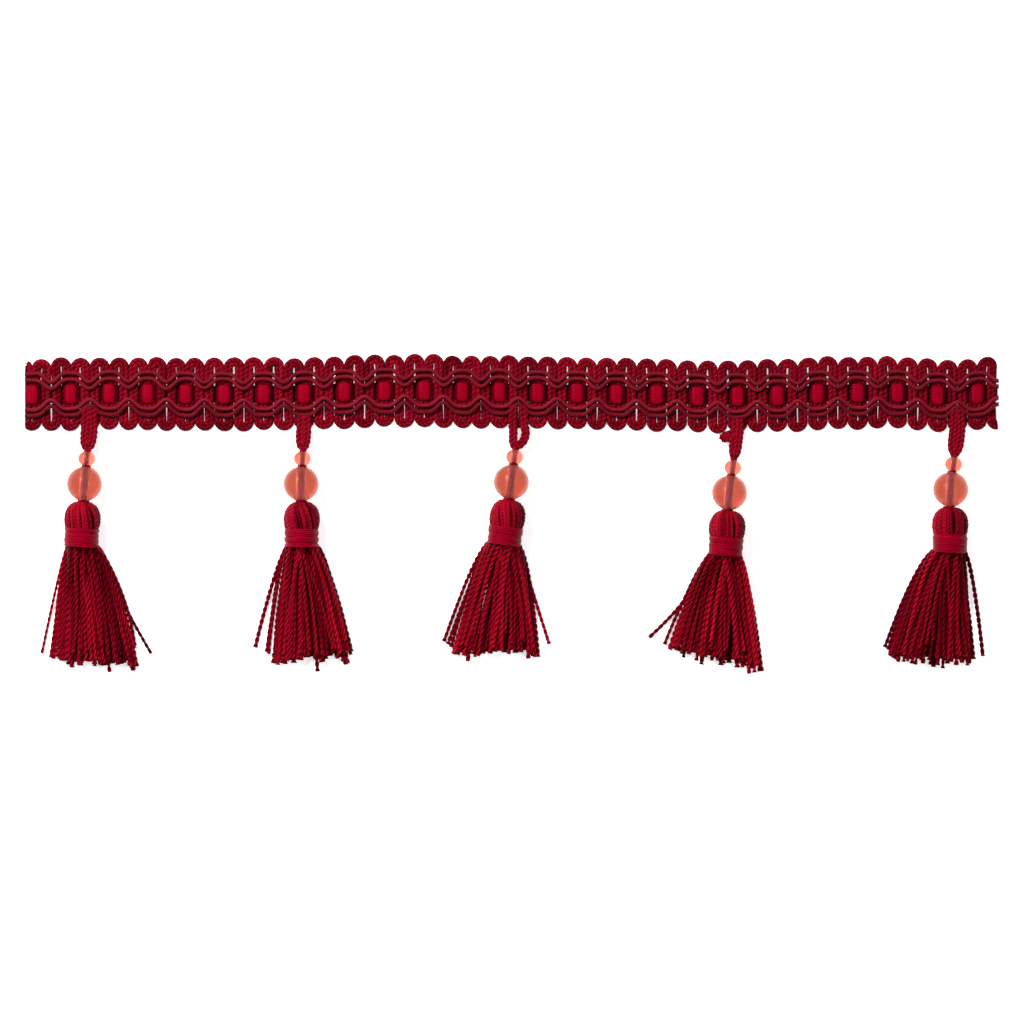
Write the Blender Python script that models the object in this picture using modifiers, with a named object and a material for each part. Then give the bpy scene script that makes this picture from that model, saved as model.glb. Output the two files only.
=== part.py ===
"""A beaded tassel fringe trim, lying face up on a flat surface.

X runs along the braid, +Y points from the tassels to the braid and +Z is up, away from the surface.
A doubled cord zigzags to and fro across the braid. A satin ribbon is laced through it lengthways,
over the cord in each window and under it at each waist, and two scroll cords run along each side of
the windows. Five cord loops hang from the lower edge. A thread from each loop carries a small bead,
a large bead and a tassel, whose neck is bound with thread.
"""

import math
import random
from collections import namedtuple

import bmesh
import bpy
from mathutils import Matrix, Vector

MM = 0.001
GAP = 0.3 * MM
MERGE_DISTANCE = 0.01 * MM

# The braid
BRAID_LENGTH = 263.0 * MM
BRAID_Y = 31.8 * MM
PICOT_PITCH = 5.316 * MM
FIRST_WINDOW_X = -129.6 * MM
PICOT_COUNT = 49
PICOT_REACH = 9.35 * MM
PICOT_RADIUS = 1.15 * MM
PICOT_DEPTH = 1.1 * MM
PICOT_UNEVENNESS = 0.22 * MM
WAIST_LEG_OFFSET = 1.4 * MM
WAIST_LEG_RISE_Y = 3.1 * MM
CORD_WIDTH = 1.6 * MM
CORD_THICKNESS = 0.8 * MM
RIBBON_WIDTH = 5.2 * MM
RIBBON_THICKNESS = 0.5 * MM
RIBBON_FLOOR_GAP = 0.05 * MM
RIBBON_BULGE = 0.2 * MM
RIBBON_UNDER_HALF = 2.35 * MM
RIBBON_OVER_HALF = 2.3 * MM

# The scroll cords: how far the inner ones lie from the braid's centre line
SCROLL_RADIUS = 0.4 * MM
SCROLL_WINDOW_Y = 3.7 * MM
SCROLL_WAIST_Y = 1.15 * MM
SCROLL_PAIR_SPACING = 1.6 * MM
SCROLL_POINTS_PER_WINDOW = 5

# The levels of the layers, measured to the middle of each
GROUND_Z = CORD_THICKNESS / 2
RIBBON_LOW_Z = RIBBON_FLOOR_GAP + RIBBON_THICKNESS / 2
RIBBON_HIGH_Z = CORD_THICKNESS + GAP + RIBBON_THICKNESS / 2
WAIST_LEG_Z = RIBBON_LOW_Z + RIBBON_THICKNESS / 2 + GAP + CORD_THICKNESS / 2
LOOP_Z = CORD_THICKNESS + GAP + CORD_THICKNESS / 2
SCROLL_Z = WAIST_LEG_Z + CORD_THICKNESS / 2 + GAP + SCROLL_RADIUS

# The hanging loops
LOOP_CORD_WIDTH = 1.5 * MM
LOOP_TUCK_WINDOW_Y = 6.1 * MM
LOOP_TUCK_WAIST_Y = 4.8 * MM
LOOP_EDGE_Y = 8.6 * MM

# How wide a loop is along its way, as a share of its widest, and where it is widest and closing
LOOP_TUCK_SHARE = 0.8
LOOP_EDGE_SHARE = 0.85
LOOP_CLOSE_SHARE = 0.62
LOOP_BELLY_AT = 0.55
LOOP_CLOSE_AT = 0.88

# The beads and their thread
Bead = namedtuple("Bead", "radius half_length arc_steps turn_steps")
LARGE_BEAD = Bead(4.8 * MM, 4.55 * MM, 8, 12)
SMALL_BEAD = Bead(2.3 * MM, 1.95 * MM, 6, 10)
BEAD_BORE_RADIUS = 0.85 * MM
THREAD_RADIUS = 0.5 * MM
SMALL_BEAD_Z = 4.1 * MM

# The tassels, measured along the tassel from the top of its head
HEAD_STEPS = 12
HEAD_RADIUS = 5.0 * MM
HEAD_LENGTH = 7.4 * MM
HeadPoint = namedtuple("HeadPoint", "radius_share depth_share")
HEAD_CURVE = (
    HeadPoint(0.0, 0.0),
    HeadPoint(0.42, 0.03),
    HeadPoint(0.80, 0.20),
    HeadPoint(0.99, 0.46),
    HeadPoint(1.00, 0.62),
    HeadPoint(0.93, 0.85),
)
NECK_RADIUS = 3.9 * MM
NECK_LENGTH = 6.5 * MM
BINDING_LENGTH = 5.6 * MM
BINDING_RADIUS = 4.75 * MM
BINDING_RIDGES = 2
BINDING_RIDGE_HEIGHT = 0.2 * MM
ROOT_DEPTH = 0.3 * MM
SKIRT_ROWS = (7, 7, 6)
ROW_ROOT_Z = (-2.5 * MM, 0.0, 2.5 * MM)
ROW_ROOT_HALF = (2.75 * MM, 3.2 * MM, 2.6 * MM)
ROW_TIP_Z = (0.5 * MM, 1.95 * MM, 3.4 * MM)
ROW_SPREAD = (0.93, 0.84, 0.66)
LOCK_THICKNESS = 1.0 * MM
LOCK_ROOT_WIDTH = 0.75 * MM
LOCK_TIP_WIDTH = 2.1 * MM
STRAY_TIP_WIDTH = 1.0 * MM
LOCK_STATIONS = (0.0, 0.2, 0.45, 1.0)
LOCK_SETTLE = 2.3

# How far the braid strays along its length, in millimetres: sideways, and lengthways where it is
# drawn together or pulled out
Stray = namedtuple("Stray", "x offset")
SWAY = (
    Stray(-131.5, -0.3),
    Stray(-105.0, -0.3),
    Stray(-65.0, 0.1),
    Stray(-30.0, 0.6),
    Stray(15.0, 0.0),
    Stray(65.0, -0.6),
    Stray(100.0, -0.1),
    Stray(131.5, 0.5),
)
DRIFT = (
    Stray(-129.6, 0.0),
    Stray(-108.3, -0.4),
    Stray(-76.4, -1.3),
    Stray(-23.3, -0.4),
    Stray(8.6, -1.7),
    Stray(29.9, -1.65),
    Stray(61.8, -0.9),
    Stray(93.7, -0.35),
    Stray(125.5, 0.0),
)

# Where each tassel hangs, in millimetres. picot counts picots from the left end, loop_half is half the
# loop's width, skirt_x and skirt_y are the middle of the cut ends, skirt_half is half their spread, and
# slope is how much further down the right side ends than the left. The cut ends are uneven by
# TIP_UNEVENNESS, and strays are the ends of the outermost strands on the surface.
TIP_UNEVENNESS = 0.9
Hanger = namedtuple(
    "Hanger",
    "picot loop_half bead_x bead_y neck_x neck_y skirt_x skirt_y skirt_half slope strays",
)
HANGERS = (
    Hanger(3, 2.2, -115.2, 7.6, -116.0, -7.3, -113.3, -40.2, 11.9, 0.5, ((-126.9, -39.2), (-97.3, -39.0))),
    Hanger(14, 1.8, -56.8, 7.6, -56.7, -7.3, -55.4, -39.2, 11.4, -1.4, ((-69.3, -37.6), (-42.6, -37.0))),
    Hanger(25, 2.7, -0.2, 8.1, -1.9, -6.5, -4.3, -38.2, 11.7, 0.6, ((-18.4, -35.4), (10.0, -36.2))),
    Hanger(36, 1.8, 58.6, 5.2, 57.6, -9.3, 54.7, -39.4, 12.6, 2.2, ((37.4, -34.8), (68.0, -39.8))),
    Hanger(47, 2.1, 118.2, 6.1, 118.0, -8.1, 114.1, -39.2, 11.9, 1.0, ((100.5, -37.4), (127.2, -40.0))),
)

COLOURS = {
    "ground_yarn": ((0.30, 0.008, 0.022), 0.55),
    "satin_floss": ((0.42, 0.004, 0.022), 0.35),
    "scroll_gimp": ((0.22, 0.014, 0.026), 0.6),
    "tassel_yarn": ((0.28, 0.006, 0.018), 0.5),
    "binding_thread": ((0.36, 0.004, 0.024), 0.4),
    "coral_bead": ((0.80, 0.16, 0.10), 0.12),
}


def clear_scene():
    """Removes every object that the file opened with."""
    for obj in list(bpy.data.objects):
        bpy.data.objects.remove(obj)


def make_collection(name):
    """A new collection under the scene."""
    collection = bpy.data.collections.new(name)
    bpy.context.scene.collection.children.link(collection)
    return collection


def make_material(name):
    """A Principled material of one colour and roughness."""
    colour, roughness = COLOURS[name]
    material = bpy.data.materials.new(name)
    material.use_nodes = True
    shader = material.node_tree.nodes["Principled BSDF"]
    shader.inputs["Base Color"].default_value = (*colour, 1.0)
    shader.inputs["Roughness"].default_value = roughness
    shader.inputs["Metallic"].default_value = 0.0
    return material


def add_object(name, data, collection, material=None):
    """A new object in the collection, with the material on its data."""
    obj = bpy.data.objects.new(name, data)
    collection.objects.link(obj)
    if material:
        data.materials.append(material)
    return obj


def make_section(name, width, thickness, collection):
    """A closed rectangular outline, which a flat cord's curve carries along its path."""
    outline = bpy.data.curves.new(name, "CURVE")
    outline.dimensions = "2D"
    outline.fill_mode = "NONE"
    spline = outline.splines.new("POLY")
    corners = ((-1, -1), (-1, 1), (1, 1), (1, -1))
    spline.points.add(len(corners) - 1)
    for point, (across, up) in zip(spline.points, corners):
        point.co = (across * width / 2, up * thickness / 2, 0.0, 1.0)
    spline.use_cyclic_u = True
    guide = add_object(name, outline, collection)
    guide.hide_render = True
    guide.display_type = "WIRE"
    return guide


def make_cord(name, points, collection, material, radius=None, section=None):
    """A cord along a line of points: round with that radius, or flat with that section."""
    curve = bpy.data.curves.new(name, "CURVE")
    curve.dimensions = "3D"
    curve.twist_mode = "Z_UP"
    spline = curve.splines.new("POLY")
    spline.points.add(len(points) - 1)
    for point, place in zip(spline.points, points):
        point.co = (*place, 1.0)
    if section:
        curve.bevel_mode = "OBJECT"
        curve.bevel_object = section
    else:
        curve.bevel_depth = radius
        curve.bevel_resolution = 0
    curve.use_fill_caps = True
    return add_object(name, curve, collection, material)


def smooth(share):
    """A soft step from 0 to 1."""
    return share * share * (3 - 2 * share)


def stray(table, x):
    """How far the braid strays at x, by a soft step from each row of the table to the next."""
    at = min(max(x / MM, table[0].x), table[-1].x)
    for left, right in zip(table, table[1:]):
        if at <= right.x:
            share = smooth((at - left.x) / (right.x - left.x))
            return (left.offset + (right.offset - left.offset) * share) * MM
    return table[-1].offset * MM


def on_braid(x, across, z):
    """A point at x along an even braid, that far across from its centre line, at height z."""
    return Vector((x + stray(DRIFT, x), BRAID_Y + stray(SWAY, x) + across, z))


def picot_turn(x, side, rng):
    """The four points of one turn of the ground cord, from left to right, at side 1 (top) or -1."""
    reach = PICOT_REACH + rng.uniform(-1, 1) * PICOT_UNEVENNESS
    start = side * (reach - PICOT_DEPTH)
    tip = side * reach
    return [
        on_braid(x - PICOT_RADIUS, start, GROUND_Z),
        on_braid(x - PICOT_RADIUS / 2, tip, GROUND_Z),
        on_braid(x + PICOT_RADIUS / 2, tip, GROUND_Z),
        on_braid(x + PICOT_RADIUS, start, GROUND_Z),
    ]


def waist_leg(x, upwards):
    """The two points that lift a leg of the ground cord over the ribbon at a waist."""
    side = -1 if upwards else 1
    return [
        on_braid(x, side * WAIST_LEG_RISE_Y, WAIST_LEG_Z),
        on_braid(x, -side * WAIST_LEG_RISE_Y, WAIST_LEG_Z),
    ]


def ground_cord_points():
    """The zigzag: up beside each lower picot, round an upper one, and down to the next."""
    rng = random.Random(3)
    end_x = BRAID_LENGTH / 2
    leg_x = CORD_WIDTH / 2 - end_x
    points = [on_braid(leg_x, PICOT_REACH - PICOT_DEPTH, GROUND_Z)]
    for count in range(PICOT_COUNT):
        x = FIRST_WINDOW_X + count * PICOT_PITCH
        at_waist = count % 2 == 1
        turn = picot_turn(x, -1, rng)
        if count == 0:
            turn[0].x = leg_x
        if at_waist:
            points += waist_leg(x - WAIST_LEG_OFFSET, upwards=False)
        points += turn
        if at_waist:
            points += waist_leg(x + WAIST_LEG_OFFSET, upwards=True)
        points += picot_turn(x + PICOT_PITCH / 2, 1, rng)
    last_x = FIRST_WINDOW_X + PICOT_COUNT * PICOT_PITCH
    points += waist_leg(last_x - WAIST_LEG_OFFSET, upwards=False)
    cut_turn = picot_turn(last_x, -1, rng)
    points += cut_turn[:2]
    points.append(Vector((end_x, cut_turn[1].y, GROUND_Z)))
    return points


def window_centres():
    """The x of each window's middle, from the left."""
    return [FIRST_WINDOW_X + count * PICOT_PITCH for count in range(0, PICOT_COUNT, 2)]


def ribbon_points():
    """The ribbon's wave: over the ground in each window and under it at each waist."""
    end_x = BRAID_LENGTH / 2
    profile = (
        (-PICOT_PITCH + RIBBON_UNDER_HALF, RIBBON_LOW_Z),
        (-RIBBON_OVER_HALF, RIBBON_HIGH_Z),
        (0.0, RIBBON_HIGH_Z + RIBBON_BULGE),
        (RIBBON_OVER_HALF, RIBBON_HIGH_Z),
        (PICOT_PITCH - RIBBON_UNDER_HALF, RIBBON_LOW_Z),
    )
    wave = [(centre + x, z) for centre in window_centres() for x, z in profile]
    inside = [(x, z) for x, z in wave if -end_x < x < end_x]
    ends = ((-end_x, inside[0][1]), (end_x, inside[-1][1]))
    return [on_braid(x, 0.0, z) for x, z in (ends[0], *inside, ends[1])]


def scroll_swell(x):
    """1 in the middle of a window and 0 at a waist: broad over the window, narrow at the waist."""
    turn = math.pi * (x - FIRST_WINDOW_X) / PICOT_PITCH
    rise = (1 + math.cos(turn)) / 2
    return 1 - (1 - rise) ** 2


def scroll_points(side, outer):
    """A scroll cord's wave above (side 1) or below (side -1) the centre line."""
    end_x = BRAID_LENGTH / 2
    step = 2 * PICOT_PITCH / SCROLL_POINTS_PER_WINDOW
    first = math.ceil((-end_x - FIRST_WINDOW_X) / step)
    last = math.floor((end_x - FIRST_WINDOW_X) / step)
    inside = [FIRST_WINDOW_X + index * step for index in range(first, last + 1)]
    points = []
    for x in (-end_x, *inside, end_x):
        away = SCROLL_WAIST_Y + (SCROLL_WINDOW_Y - SCROLL_WAIST_Y) * scroll_swell(x)
        if outer:
            away += SCROLL_PAIR_SPACING
        points.append(on_braid(x, side * away, SCROLL_Z))
    return points


def make_braid(parts, sections, materials):
    """The ground cord, the ribbon laced through it and the four scroll cords on top."""
    make_cord("ground_cord", ground_cord_points(), parts, materials["ground_yarn"], section=sections["cord"])
    make_cord("satin_ribbon", ribbon_points(), parts, materials["satin_floss"], section=sections["ribbon"])
    for side_name, side in (("upper", 1), ("lower", -1)):
        for place, outer in (("inner", False), ("outer", True)):
            name = f"scroll_cord_{side_name}_{place}"
            points = scroll_points(side, outer)
            make_cord(name, points, parts, materials["scroll_gimp"], radius=SCROLL_RADIUS)


def hanger_frame(hanger):
    """The middles of the two beads, the thread's direction in each, the loop's end and the head's top."""
    anchor = on_braid(FIRST_WINDOW_X + hanger.picot * PICOT_PITCH, -PICOT_REACH, 0.0)
    large = Vector((hanger.bead_x * MM, hanger.bead_y * MM, LARGE_BEAD.radius))
    neck = Vector((hanger.neck_x * MM, hanger.neck_y * MM, HEAD_RADIUS))
    down = (neck - large).normalized()
    up = (Vector((anchor.x, anchor.y, SMALL_BEAD_Z)) - large).normalized()
    large_axis = (up - down).normalized()
    between = LARGE_BEAD.half_length + GAP + SMALL_BEAD.half_length
    small = large + up * between
    small.z = SMALL_BEAD_Z
    small_axis = (Vector((anchor.x, anchor.y, LOOP_Z)) - small).normalized()
    small_axis = (small_axis + up).normalized()
    loop_end = small + small_axis * (SMALL_BEAD.half_length + GAP)
    head_top = large + down * (LARGE_BEAD.half_length + GAP)
    head_top.z = HEAD_RADIUS
    return large, large_axis, small, small_axis, loop_end, head_top


def loop_points(hanger, loop_end):
    """A hanging loop's path: down one leg from under the scroll cords, round the end and back up."""
    x = FIRST_WINDOW_X + hanger.picot * PICOT_PITCH
    at_waist = hanger.picot % 2 == 1
    leg = hanger.loop_half * MM - LOOP_CORD_WIDTH / 2
    tuck_y = LOOP_TUCK_WAIST_Y if at_waist else LOOP_TUCK_WINDOW_Y
    tuck_z = WAIST_LEG_Z + CORD_THICKNESS + GAP if at_waist else LOOP_Z
    tuck = on_braid(x, -tuck_y, tuck_z)
    edge = on_braid(x, -LOOP_EDGE_Y, LOOP_Z)
    turn = loop_end + (edge - loop_end).normalized() * LOOP_CORD_WIDTH / 2
    belly = edge.lerp(turn, LOOP_BELLY_AT)
    close = edge.lerp(turn, LOOP_CLOSE_AT)
    middles = ((tuck, LOOP_TUCK_SHARE), (edge, LOOP_EDGE_SHARE), (belly, 1.0), (close, LOOP_CLOSE_SHARE))
    left = [place - Vector((leg * share, 0, 0)) for place, share in middles]
    right = [place + Vector((leg * share, 0, 0)) for place, share in middles]
    return left + [turn] + right[::-1]


def thread_points(large, large_axis, small, small_axis):
    """The bead thread: from the loop's end through the small bead and the large one to the head."""
    return [
        small + small_axis * SMALL_BEAD.half_length,
        small - small_axis * SMALL_BEAD.half_length,
        large + large_axis * LARGE_BEAD.half_length,
        large - large_axis * LARGE_BEAD.half_length,
    ]


def bead_profile(bead):
    """A bored bead's section as (radius, height), down its outside. The closing edge is its bore."""
    limit = math.acos(BEAD_BORE_RADIUS / bead.radius)
    profile = []
    for step in range(bead.arc_steps + 1):
        angle = limit * (1 - 2 * step / bead.arc_steps)
        height = bead.half_length * math.sin(angle) / math.sin(limit)
        profile.append((bead.radius * math.cos(angle), height))
    return profile


def make_turned(name, profile, steps, collection, material, closed):
    """A profile of (radius, height) turned about Z. A closed profile makes a ring."""
    mesh = bpy.data.meshes.new(name)
    bm = bmesh.new()
    verts = [bm.verts.new((radius, 0.0, height)) for radius, height in profile]
    pairs = list(zip(verts, verts[1:]))
    if closed:
        pairs.append((verts[-1], verts[0]))
    for first, second in pairs:
        bm.edges.new((first, second))
    bm.to_mesh(mesh)
    bm.free()
    obj = add_object(name, mesh, collection, material)
    screw = obj.modifiers.new("turn", "SCREW")
    screw.axis = "Z"
    screw.steps = screw.render_steps = steps
    screw.use_merge_vertices = True
    screw.merge_threshold = MERGE_DISTANCE
    screw.use_smooth_shade = True
    return obj


def lay_along(obj, middle, axis):
    """Turns an object whose own axis is Z to lie along a direction, with its facets level."""
    side = Vector((0, 0, 1)).cross(axis).normalized()
    down = side.cross(axis)
    turn = Matrix((down, side, axis)).transposed()
    obj.location = middle
    obj.rotation_euler = turn.to_euler()


def make_bead(name, bead, middle, axis, parts, material):
    """A bored bead, threaded along an axis."""
    obj = make_turned(name, bead_profile(bead), bead.turn_steps, parts, material, closed=True)
    lay_along(obj, middle, axis)


def head_profile():
    """The head and the neck as (radius, height), from the top of the head down to the neck's end."""
    neck_end = -(HEAD_LENGTH + NECK_LENGTH)
    head = [(point.radius_share * HEAD_RADIUS, -point.depth_share * HEAD_LENGTH) for point in HEAD_CURVE]
    neck = [(NECK_RADIUS, -HEAD_LENGTH), (NECK_RADIUS, neck_end), (0.0, neck_end)]
    return head + neck


def lock_sections(root, tip, width, row):
    """The path of one lock from its root in the neck to its cut end, with its width at each station.

    The lowest row sinks to the surface early and lies along it, and the others come down evenly.
    """
    for share in LOCK_STATIONS:
        spread = root.lerp(tip, share)
        fall = max(0.0, 1 - LOCK_SETTLE * share) ** 2 if row == 0 else (1 - share) ** 2
        z = tip.z + (root.z - tip.z) * fall
        yield Vector((spread.x, spread.y, z)), LOCK_ROOT_WIDTH + (width - LOCK_ROOT_WIDTH) * share


def add_lock(bm, sections):
    """A lock of yarn: a four-sided section carried along its path, which runs down -Y."""
    rings = []
    for middle, width in sections:
        half = Vector((width / 2, 0, 0))
        lift = Vector((0, 0, LOCK_THICKNESS / 2))
        corners = (middle - half - lift, middle + half - lift, middle + half + lift, middle - half + lift)
        rings.append([bm.verts.new(corner) for corner in corners])
    for near, far in zip(rings, rings[1:]):
        for side in range(4):
            after = (side + 1) % 4
            bm.faces.new((near[side], near[after], far[after], far[side]))
    bm.faces.new(reversed(rings[0]))
    bm.faces.new(rings[-1])


def skirt_locks(hanger, rng):
    """Each lock's row, its root's place across the neck, its cut end and its width there."""
    for row, count in enumerate(SKIRT_ROWS):
        for index in range(count):
            place = 2 * index / (count - 1) - 1
            root_x = place * ROW_ROOT_HALF[row]
            end_x = hanger.skirt_x + place * hanger.skirt_half * ROW_SPREAD[row]
            end_y = hanger.skirt_y - place * hanger.slope / 2 + rng.uniform(-1, 1) * TIP_UNEVENNESS
            width = LOCK_TIP_WIDTH
            if row == 0 and index in (0, count - 1):
                end_x, end_y = hanger.strays[0 if index == 0 else 1]
                width = STRAY_TIP_WIDTH
            yield row, root_x, Vector((end_x * MM, end_y * MM, ROW_TIP_Z[row])), width


def make_tassel(number, hanger, head_top, parts, cutters, material):
    """A tassel: a turned head and neck, with the locks of its skirt fused into the neck's end."""
    neck = Vector((hanger.neck_x * MM, hanger.neck_y * MM, HEAD_RADIUS))
    axis = (head_top - neck).normalized()
    lean = math.atan2(-axis.x, axis.y)
    head = make_turned(f"tassel_{number}", head_profile(), HEAD_STEPS, parts, material, closed=False)
    lay_along(head, head_top, axis)
    rng = random.Random(40 + number)
    root_y = ROOT_DEPTH - HEAD_LENGTH - NECK_LENGTH
    turn = Matrix.Rotation(lean, 3, "Z")
    bm = bmesh.new()
    for row, root_x, tip, width in skirt_locks(hanger, rng):
        root = head_top + turn @ Vector((root_x, root_y, ROW_ROOT_Z[row]))
        add_lock(bm, lock_sections(root, tip, width, row))
    bmesh.ops.recalc_face_normals(bm, faces=bm.faces)
    mesh = bpy.data.meshes.new(f"skirt_locks_{number}")
    bm.to_mesh(mesh)
    bm.free()
    locks = add_object(f"skirt_locks_{number}", mesh, cutters)
    locks.hide_render = True
    locks.display_type = "WIRE"
    join = head.modifiers.new("skirt", "BOOLEAN")
    join.operation = "UNION"
    join.object = locks
    return axis


def make_binding(number, head_top, axis, parts, material):
    """The thread wound round the neck, as one ridged ring."""
    inner = NECK_RADIUS + GAP
    half = BINDING_LENGTH / 2
    steps = 2 * BINDING_RIDGES
    profile = []
    for step in range(steps + 1):
        dip = 0.0 if step % 2 else BINDING_RIDGE_HEIGHT
        profile.append((BINDING_RADIUS - dip, half * (1 - 2 * step / steps)))
    profile += [(inner, -half), (inner, half)]
    ring = make_turned(f"neck_binding_{number}", profile, HEAD_STEPS, parts, material, closed=True)
    middle = head_top - axis * (HEAD_LENGTH + GAP + half)
    lay_along(ring, middle, axis)


def make_hangers(parts, cutters, sections, materials):
    """Each loop with its thread, beads, tassel and neck binding, from left to right."""
    for number, hanger in enumerate(HANGERS, start=1):
        large, large_axis, small, small_axis, loop_end, head_top = hanger_frame(hanger)
        loop = loop_points(hanger, loop_end)
        make_cord(f"hanging_loop_{number}", loop, parts, materials["ground_yarn"], section=sections["loop"])
        thread = thread_points(large, large_axis, small, small_axis)
        make_cord(f"bead_thread_{number}", thread, parts, materials["tassel_yarn"], radius=THREAD_RADIUS)
        make_bead(f"small_bead_{number}", SMALL_BEAD, small, small_axis, parts, materials["coral_bead"])
        make_bead(f"large_bead_{number}", LARGE_BEAD, large, large_axis, parts, materials["coral_bead"])
        axis = make_tassel(number, hanger, head_top, parts, cutters, materials["tassel_yarn"])
        make_binding(number, head_top, axis, parts, materials["binding_thread"])


def centre_on_origin(parts, helpers):
    """Moves the whole trim, so that the middle of its footprint is the origin."""
    bpy.context.view_layer.update()
    graph = bpy.context.evaluated_depsgraph_get()
    places = []
    for obj in parts.objects:
        shown = obj.evaluated_get(graph)
        places += [obj.matrix_world @ vertex.co for vertex in shown.to_mesh().vertices]
        shown.to_mesh_clear()
    middle_x, middle_y = ((min(spots) + max(spots)) / 2 for spots in zip(*((p.x, p.y) for p in places)))
    floor = min(place.z for place in places)
    for obj in (*parts.objects, *helpers.objects):
        obj.location -= Vector((middle_x, middle_y, floor))


def main():
    clear_scene()
    parts = make_collection("tassel_fringe_trim")
    helpers = make_collection("helpers")
    sections = {
        "cord": make_section("cord_section", CORD_WIDTH, CORD_THICKNESS, helpers),
        "loop": make_section("loop_section", LOOP_CORD_WIDTH, CORD_THICKNESS, helpers),
        "ribbon": make_section("ribbon_section", RIBBON_WIDTH, RIBBON_THICKNESS, helpers),
    }
    materials = {name: make_material(name) for name in COLOURS}
    make_braid(parts, sections, materials)
    make_hangers(parts, helpers, sections, materials)
    centre_on_origin(parts, helpers)


main()
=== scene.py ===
"""The looks of a beaded tassel fringe trim, lying face up on a pale table.

Lengths are in millimetres while shapes are worked out, and become metres when a mesh is made.
X runs along the braid, +Y points from the tassels to the braid and +Z is up, towards the camera.
"""

import logging
import math
from dataclasses import dataclass, field
from enum import Enum

import bpy
import numpy as np
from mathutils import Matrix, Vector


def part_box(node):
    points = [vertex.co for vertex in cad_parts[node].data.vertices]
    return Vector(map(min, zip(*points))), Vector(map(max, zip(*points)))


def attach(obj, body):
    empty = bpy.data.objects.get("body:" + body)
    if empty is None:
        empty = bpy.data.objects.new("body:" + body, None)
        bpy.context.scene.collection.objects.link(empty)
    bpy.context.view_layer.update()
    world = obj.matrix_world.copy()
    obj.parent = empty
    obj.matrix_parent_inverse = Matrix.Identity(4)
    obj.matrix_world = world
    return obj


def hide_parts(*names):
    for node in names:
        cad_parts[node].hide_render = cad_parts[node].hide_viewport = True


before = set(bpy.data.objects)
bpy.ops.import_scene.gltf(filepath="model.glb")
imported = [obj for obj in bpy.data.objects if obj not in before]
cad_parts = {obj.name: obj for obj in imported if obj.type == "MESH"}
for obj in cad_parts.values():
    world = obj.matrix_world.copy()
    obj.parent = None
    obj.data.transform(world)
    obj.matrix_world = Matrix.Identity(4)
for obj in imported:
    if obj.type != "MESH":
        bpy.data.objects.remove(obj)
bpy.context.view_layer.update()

MM = 0.001
Array = np.ndarray
log = logging.getLogger("trim")


class Slot(Enum):
    """The record's material slots, one named for each kind of piece."""

    GROUND = "ground_yarn"
    FLOSS = "satin_floss"
    GIMP = "scroll_gimp"
    TASSEL = "tassel_yarn"
    BINDING = "binding_thread"
    BEAD = "coral_bead"


class Socket:
    """A shader socket that can be used in Python sums, each of which adds a Math node."""

    def __init__(self, shader: "ShaderTree", socket: bpy.types.NodeSocket) -> None:
        """Wraps one output socket of a tree."""
        self.shader = shader
        self.socket = socket

    def math(self, operation: str, *others: "Socket | float") -> "Socket":
        """A Math node with this socket first and the others after it."""
        values = dict(enumerate((self, *others)))
        return self.shader.node("ShaderNodeMath", {"operation": operation}, values)

    def __add__(self, other: "Socket | float") -> "Socket":
        """self + other."""
        return self.math("ADD", other)

    def __radd__(self, other: float) -> "Socket":
        """other + self."""
        return self.math("ADD", other)

    def __sub__(self, other: "Socket | float") -> "Socket":
        """self - other."""
        return self.math("SUBTRACT", other)

    def __rsub__(self, other: float) -> "Socket":
        """other - self."""
        return (self * -1.0).math("ADD", other)

    def __mul__(self, other: "Socket | float") -> "Socket":
        """self * other."""
        return self.math("MULTIPLY", other)

    def __rmul__(self, other: float) -> "Socket":
        """other * self."""
        return self.math("MULTIPLY", other)

    def clamped(self) -> "Socket":
        """The value held between 0 and 1."""
        return self.math("MAXIMUM", 0.0).math("MINIMUM", 1.0)


class ShaderTree:
    """A new material's node tree, with one method that adds any node."""

    def __init__(self, name: str) -> None:
        """Starts an empty material with an output."""
        self.material = bpy.data.materials.new(name)
        self.material.use_nodes = True
        self.tree = self.material.node_tree
        self.tree.nodes.clear()
        self.output = self.tree.nodes.new("ShaderNodeOutputMaterial")

    def node(self, kind: str, settings: dict, values: dict, output: int | str = 0) -> Socket:
        """Adds a node.

        Args:
            kind: The node's type.
            settings: Its own properties, set first.
            values: Socket name or number to a number, a colour or another socket.
            output: Which output to return.

        Returns:
            The output socket, wrapped.
        """
        node = self.tree.nodes.new(kind)
        for key, value in settings.items():
            setattr(node, key, value)
        for key, value in values.items():
            if isinstance(value, Socket):
                self.tree.links.new(value.socket, node.inputs[key])
            else:
                node.inputs[key].default_value = value
        return Socket(self, node.outputs[output])

    def attribute(self, name: str) -> Socket:
        """A number stored on the piece's own vertices."""
        return self.node("ShaderNodeAttribute", {"attribute_name": name}, {}, "Fac")

    def blend(self, factor: Socket | float, first: Socket | tuple, second: Socket | tuple) -> Socket:
        """A colour between two colours."""
        values = {"Factor": factor, 6: first, 7: second}
        return self.node("ShaderNodeMix", {"data_type": "RGBA"}, values, 2)

    def finish(self, shader: Socket) -> bpy.types.Material:
        """Connects the shader to the output and returns the material."""
        self.tree.links.new(shader.socket, self.output.inputs["Surface"])
        return self.material


def colour(red: float, green: float, blue: float) -> tuple[float, float, float, float]:
    """A screen colour, from 0 to 255 a channel, as the linear colour that a shader takes.

    Args:
        red: Red.
        green: Green.
        blue: Blue.

    Returns:
        The colour with an alpha of 1.
    """
    channels = (value / 255 for value in (red, green, blue))
    linear = (c / 12.92 if c <= 0.04045 else ((c + 0.055) / 1.055) ** 2.4 for c in channels)
    return (*linear, 1.0)


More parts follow.
